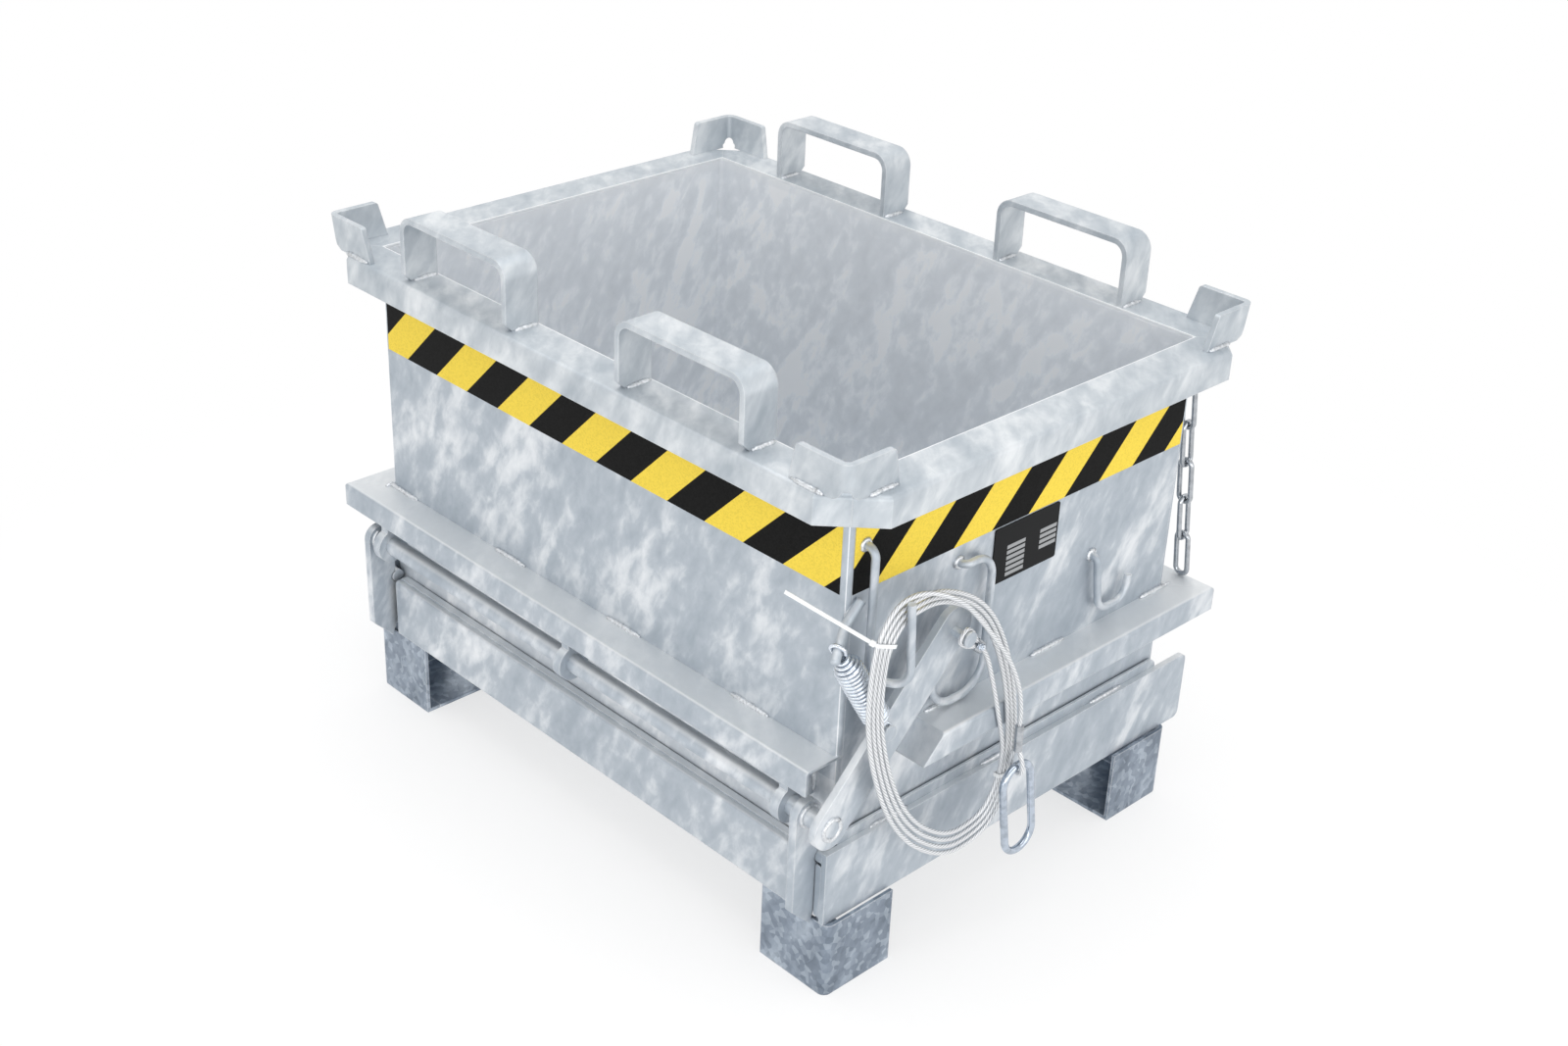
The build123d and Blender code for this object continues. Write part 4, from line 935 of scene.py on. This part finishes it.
# Room: even light from all round in front of a white backdrop.
def studio_room(name, strength):
    world = bpy.data.worlds.new(name)
    world.use_nodes = True
    tree = world.node_tree
    tree.nodes.clear()
    ray = add(tree, "ShaderNodeLightPath").outputs
    seen = add(tree, "ShaderNodeMath", {0: ray["Is Camera Ray"], 1: ray["Is Transmission Ray"]},
               operation="MAXIMUM")
    room = add(tree, "ShaderNodeBackground", {"Color": linear("#FFFFFF"), "Strength": strength})
    backdrop = add(tree, "ShaderNodeBackground", {"Color": linear("#FFFFFF"), "Strength": 1.0})
    both = add(tree, "ShaderNodeMixShader", {0: seen, 1: room, 2: backdrop})
    add(tree, "ShaderNodeOutputWorld", {"Surface": both})
    return world


class CONTAINER_OT_stage(bpy.types.Operator):
    """Set the floor, the soft light and the camera"""
    bl_idname = "container.stage"
    bl_label = "Studio"

    def execute(self, context):
        scene, stage = context.scene, context.scene.container_stage
        scene.view_settings.view_transform = "Standard"
        bm = bmesh.new()
        bmesh.ops.create_grid(bm, x_segments=2, y_segments=2, size=FLOOR_HALF)
        floor = piece("studio_floor", bm, studio_floor("Studio floor"), smooth=False)
        scene.world = studio_room("Studio", stage.sky)

        for name, (power, size, stand) in LAMPS.items():
            lamp = bpy.data.lights.new(name, "AREA")
            lamp.shape = "RECTANGLE"
            lamp.size, lamp.size_y = size
            lamp.energy = getattr(stage, power)
            holder = bpy.data.objects.new(name, lamp)
            aim = (LAMP_AIM - Vector(stand)).to_track_quat("-Z", "Y")
            holder.matrix_world = Matrix.Translation(stand) @ aim.to_matrix().to_4x4()
            scene.collection.objects.link(holder)

        look = Vector(stage.camera_look).normalized()
        level = look.cross(UP).normalized()
        rise = level.cross(look)
        across = level * math.cos(stage.camera_roll) + rise * math.sin(stage.camera_roll)
        above = rise * math.cos(stage.camera_roll) - level * math.sin(stage.camera_roll)
        camera = bpy.data.cameras.new("photo_view")
        camera.sensor_fit = "HORIZONTAL"
        camera.sensor_width = 36.0
        camera.lens = stage.camera_lens
        holder = bpy.data.objects.new("photo_view", camera)
        turn = Matrix((across, above, -look)).transposed().to_4x4()
        holder.matrix_world = Matrix.Translation(stage.camera_place) @ turn
        scene.collection.objects.link(holder)
        scene.camera = holder
        return {"FINISHED"}


class CONTAINER_PT_panel(bpy.types.Panel):
    """Lists the steps that finish the container"""
    bl_idname = "CONTAINER_PT_panel"
    bl_label = "Bottom-opening container"
    bl_space_type = "VIEW_3D"
    bl_region_type = "UI"
    bl_category = "Container"

    def draw(self, context):
        for step in STEPS:
            self.layout.operator(step.bl_idname)
        for group in GROUPS:
            settings = getattr(context.scene, group)
            for key in settings.__annotations__:
                self.layout.prop(settings, key)


STEPS = (CONTAINER_OT_steel, CONTAINER_OT_rope, CONTAINER_OT_spring, CONTAINER_OT_skirt_strip,
         CONTAINER_OT_markings, CONTAINER_OT_ties, CONTAINER_OT_clip_screw, CONTAINER_OT_welds,
         CONTAINER_OT_stage)
GROUPS = {"container_finish": ContainerFinish, "container_sizes": ContainerSizes,
          "container_stage": ContainerStage}


def register():
    for name, group in GROUPS.items():
        bpy.utils.register_class(group)
        setattr(bpy.types.Scene, name, PointerProperty(type=group))
    for step in STEPS + (CONTAINER_PT_panel,):
        bpy.utils.register_class(step)


def unregister():
    for step in reversed(STEPS + (CONTAINER_PT_panel,)):
        bpy.utils.unregister_class(step)
    for name, group in GROUPS.items():
        delattr(bpy.types.Scene, name)
        bpy.utils.unregister_class(group)


def main():
    register()
    bpy.ops.container.steel()
    bpy.ops.container.rope()
    bpy.ops.container.spring()
    bpy.ops.container.skirt_strip()
    bpy.ops.container.markings()
    bpy.ops.container.ties()
    bpy.ops.container.clip_screw()
    bpy.ops.container.welds()
    bpy.ops.container.stage()


if __name__ == "__main__":
    main()
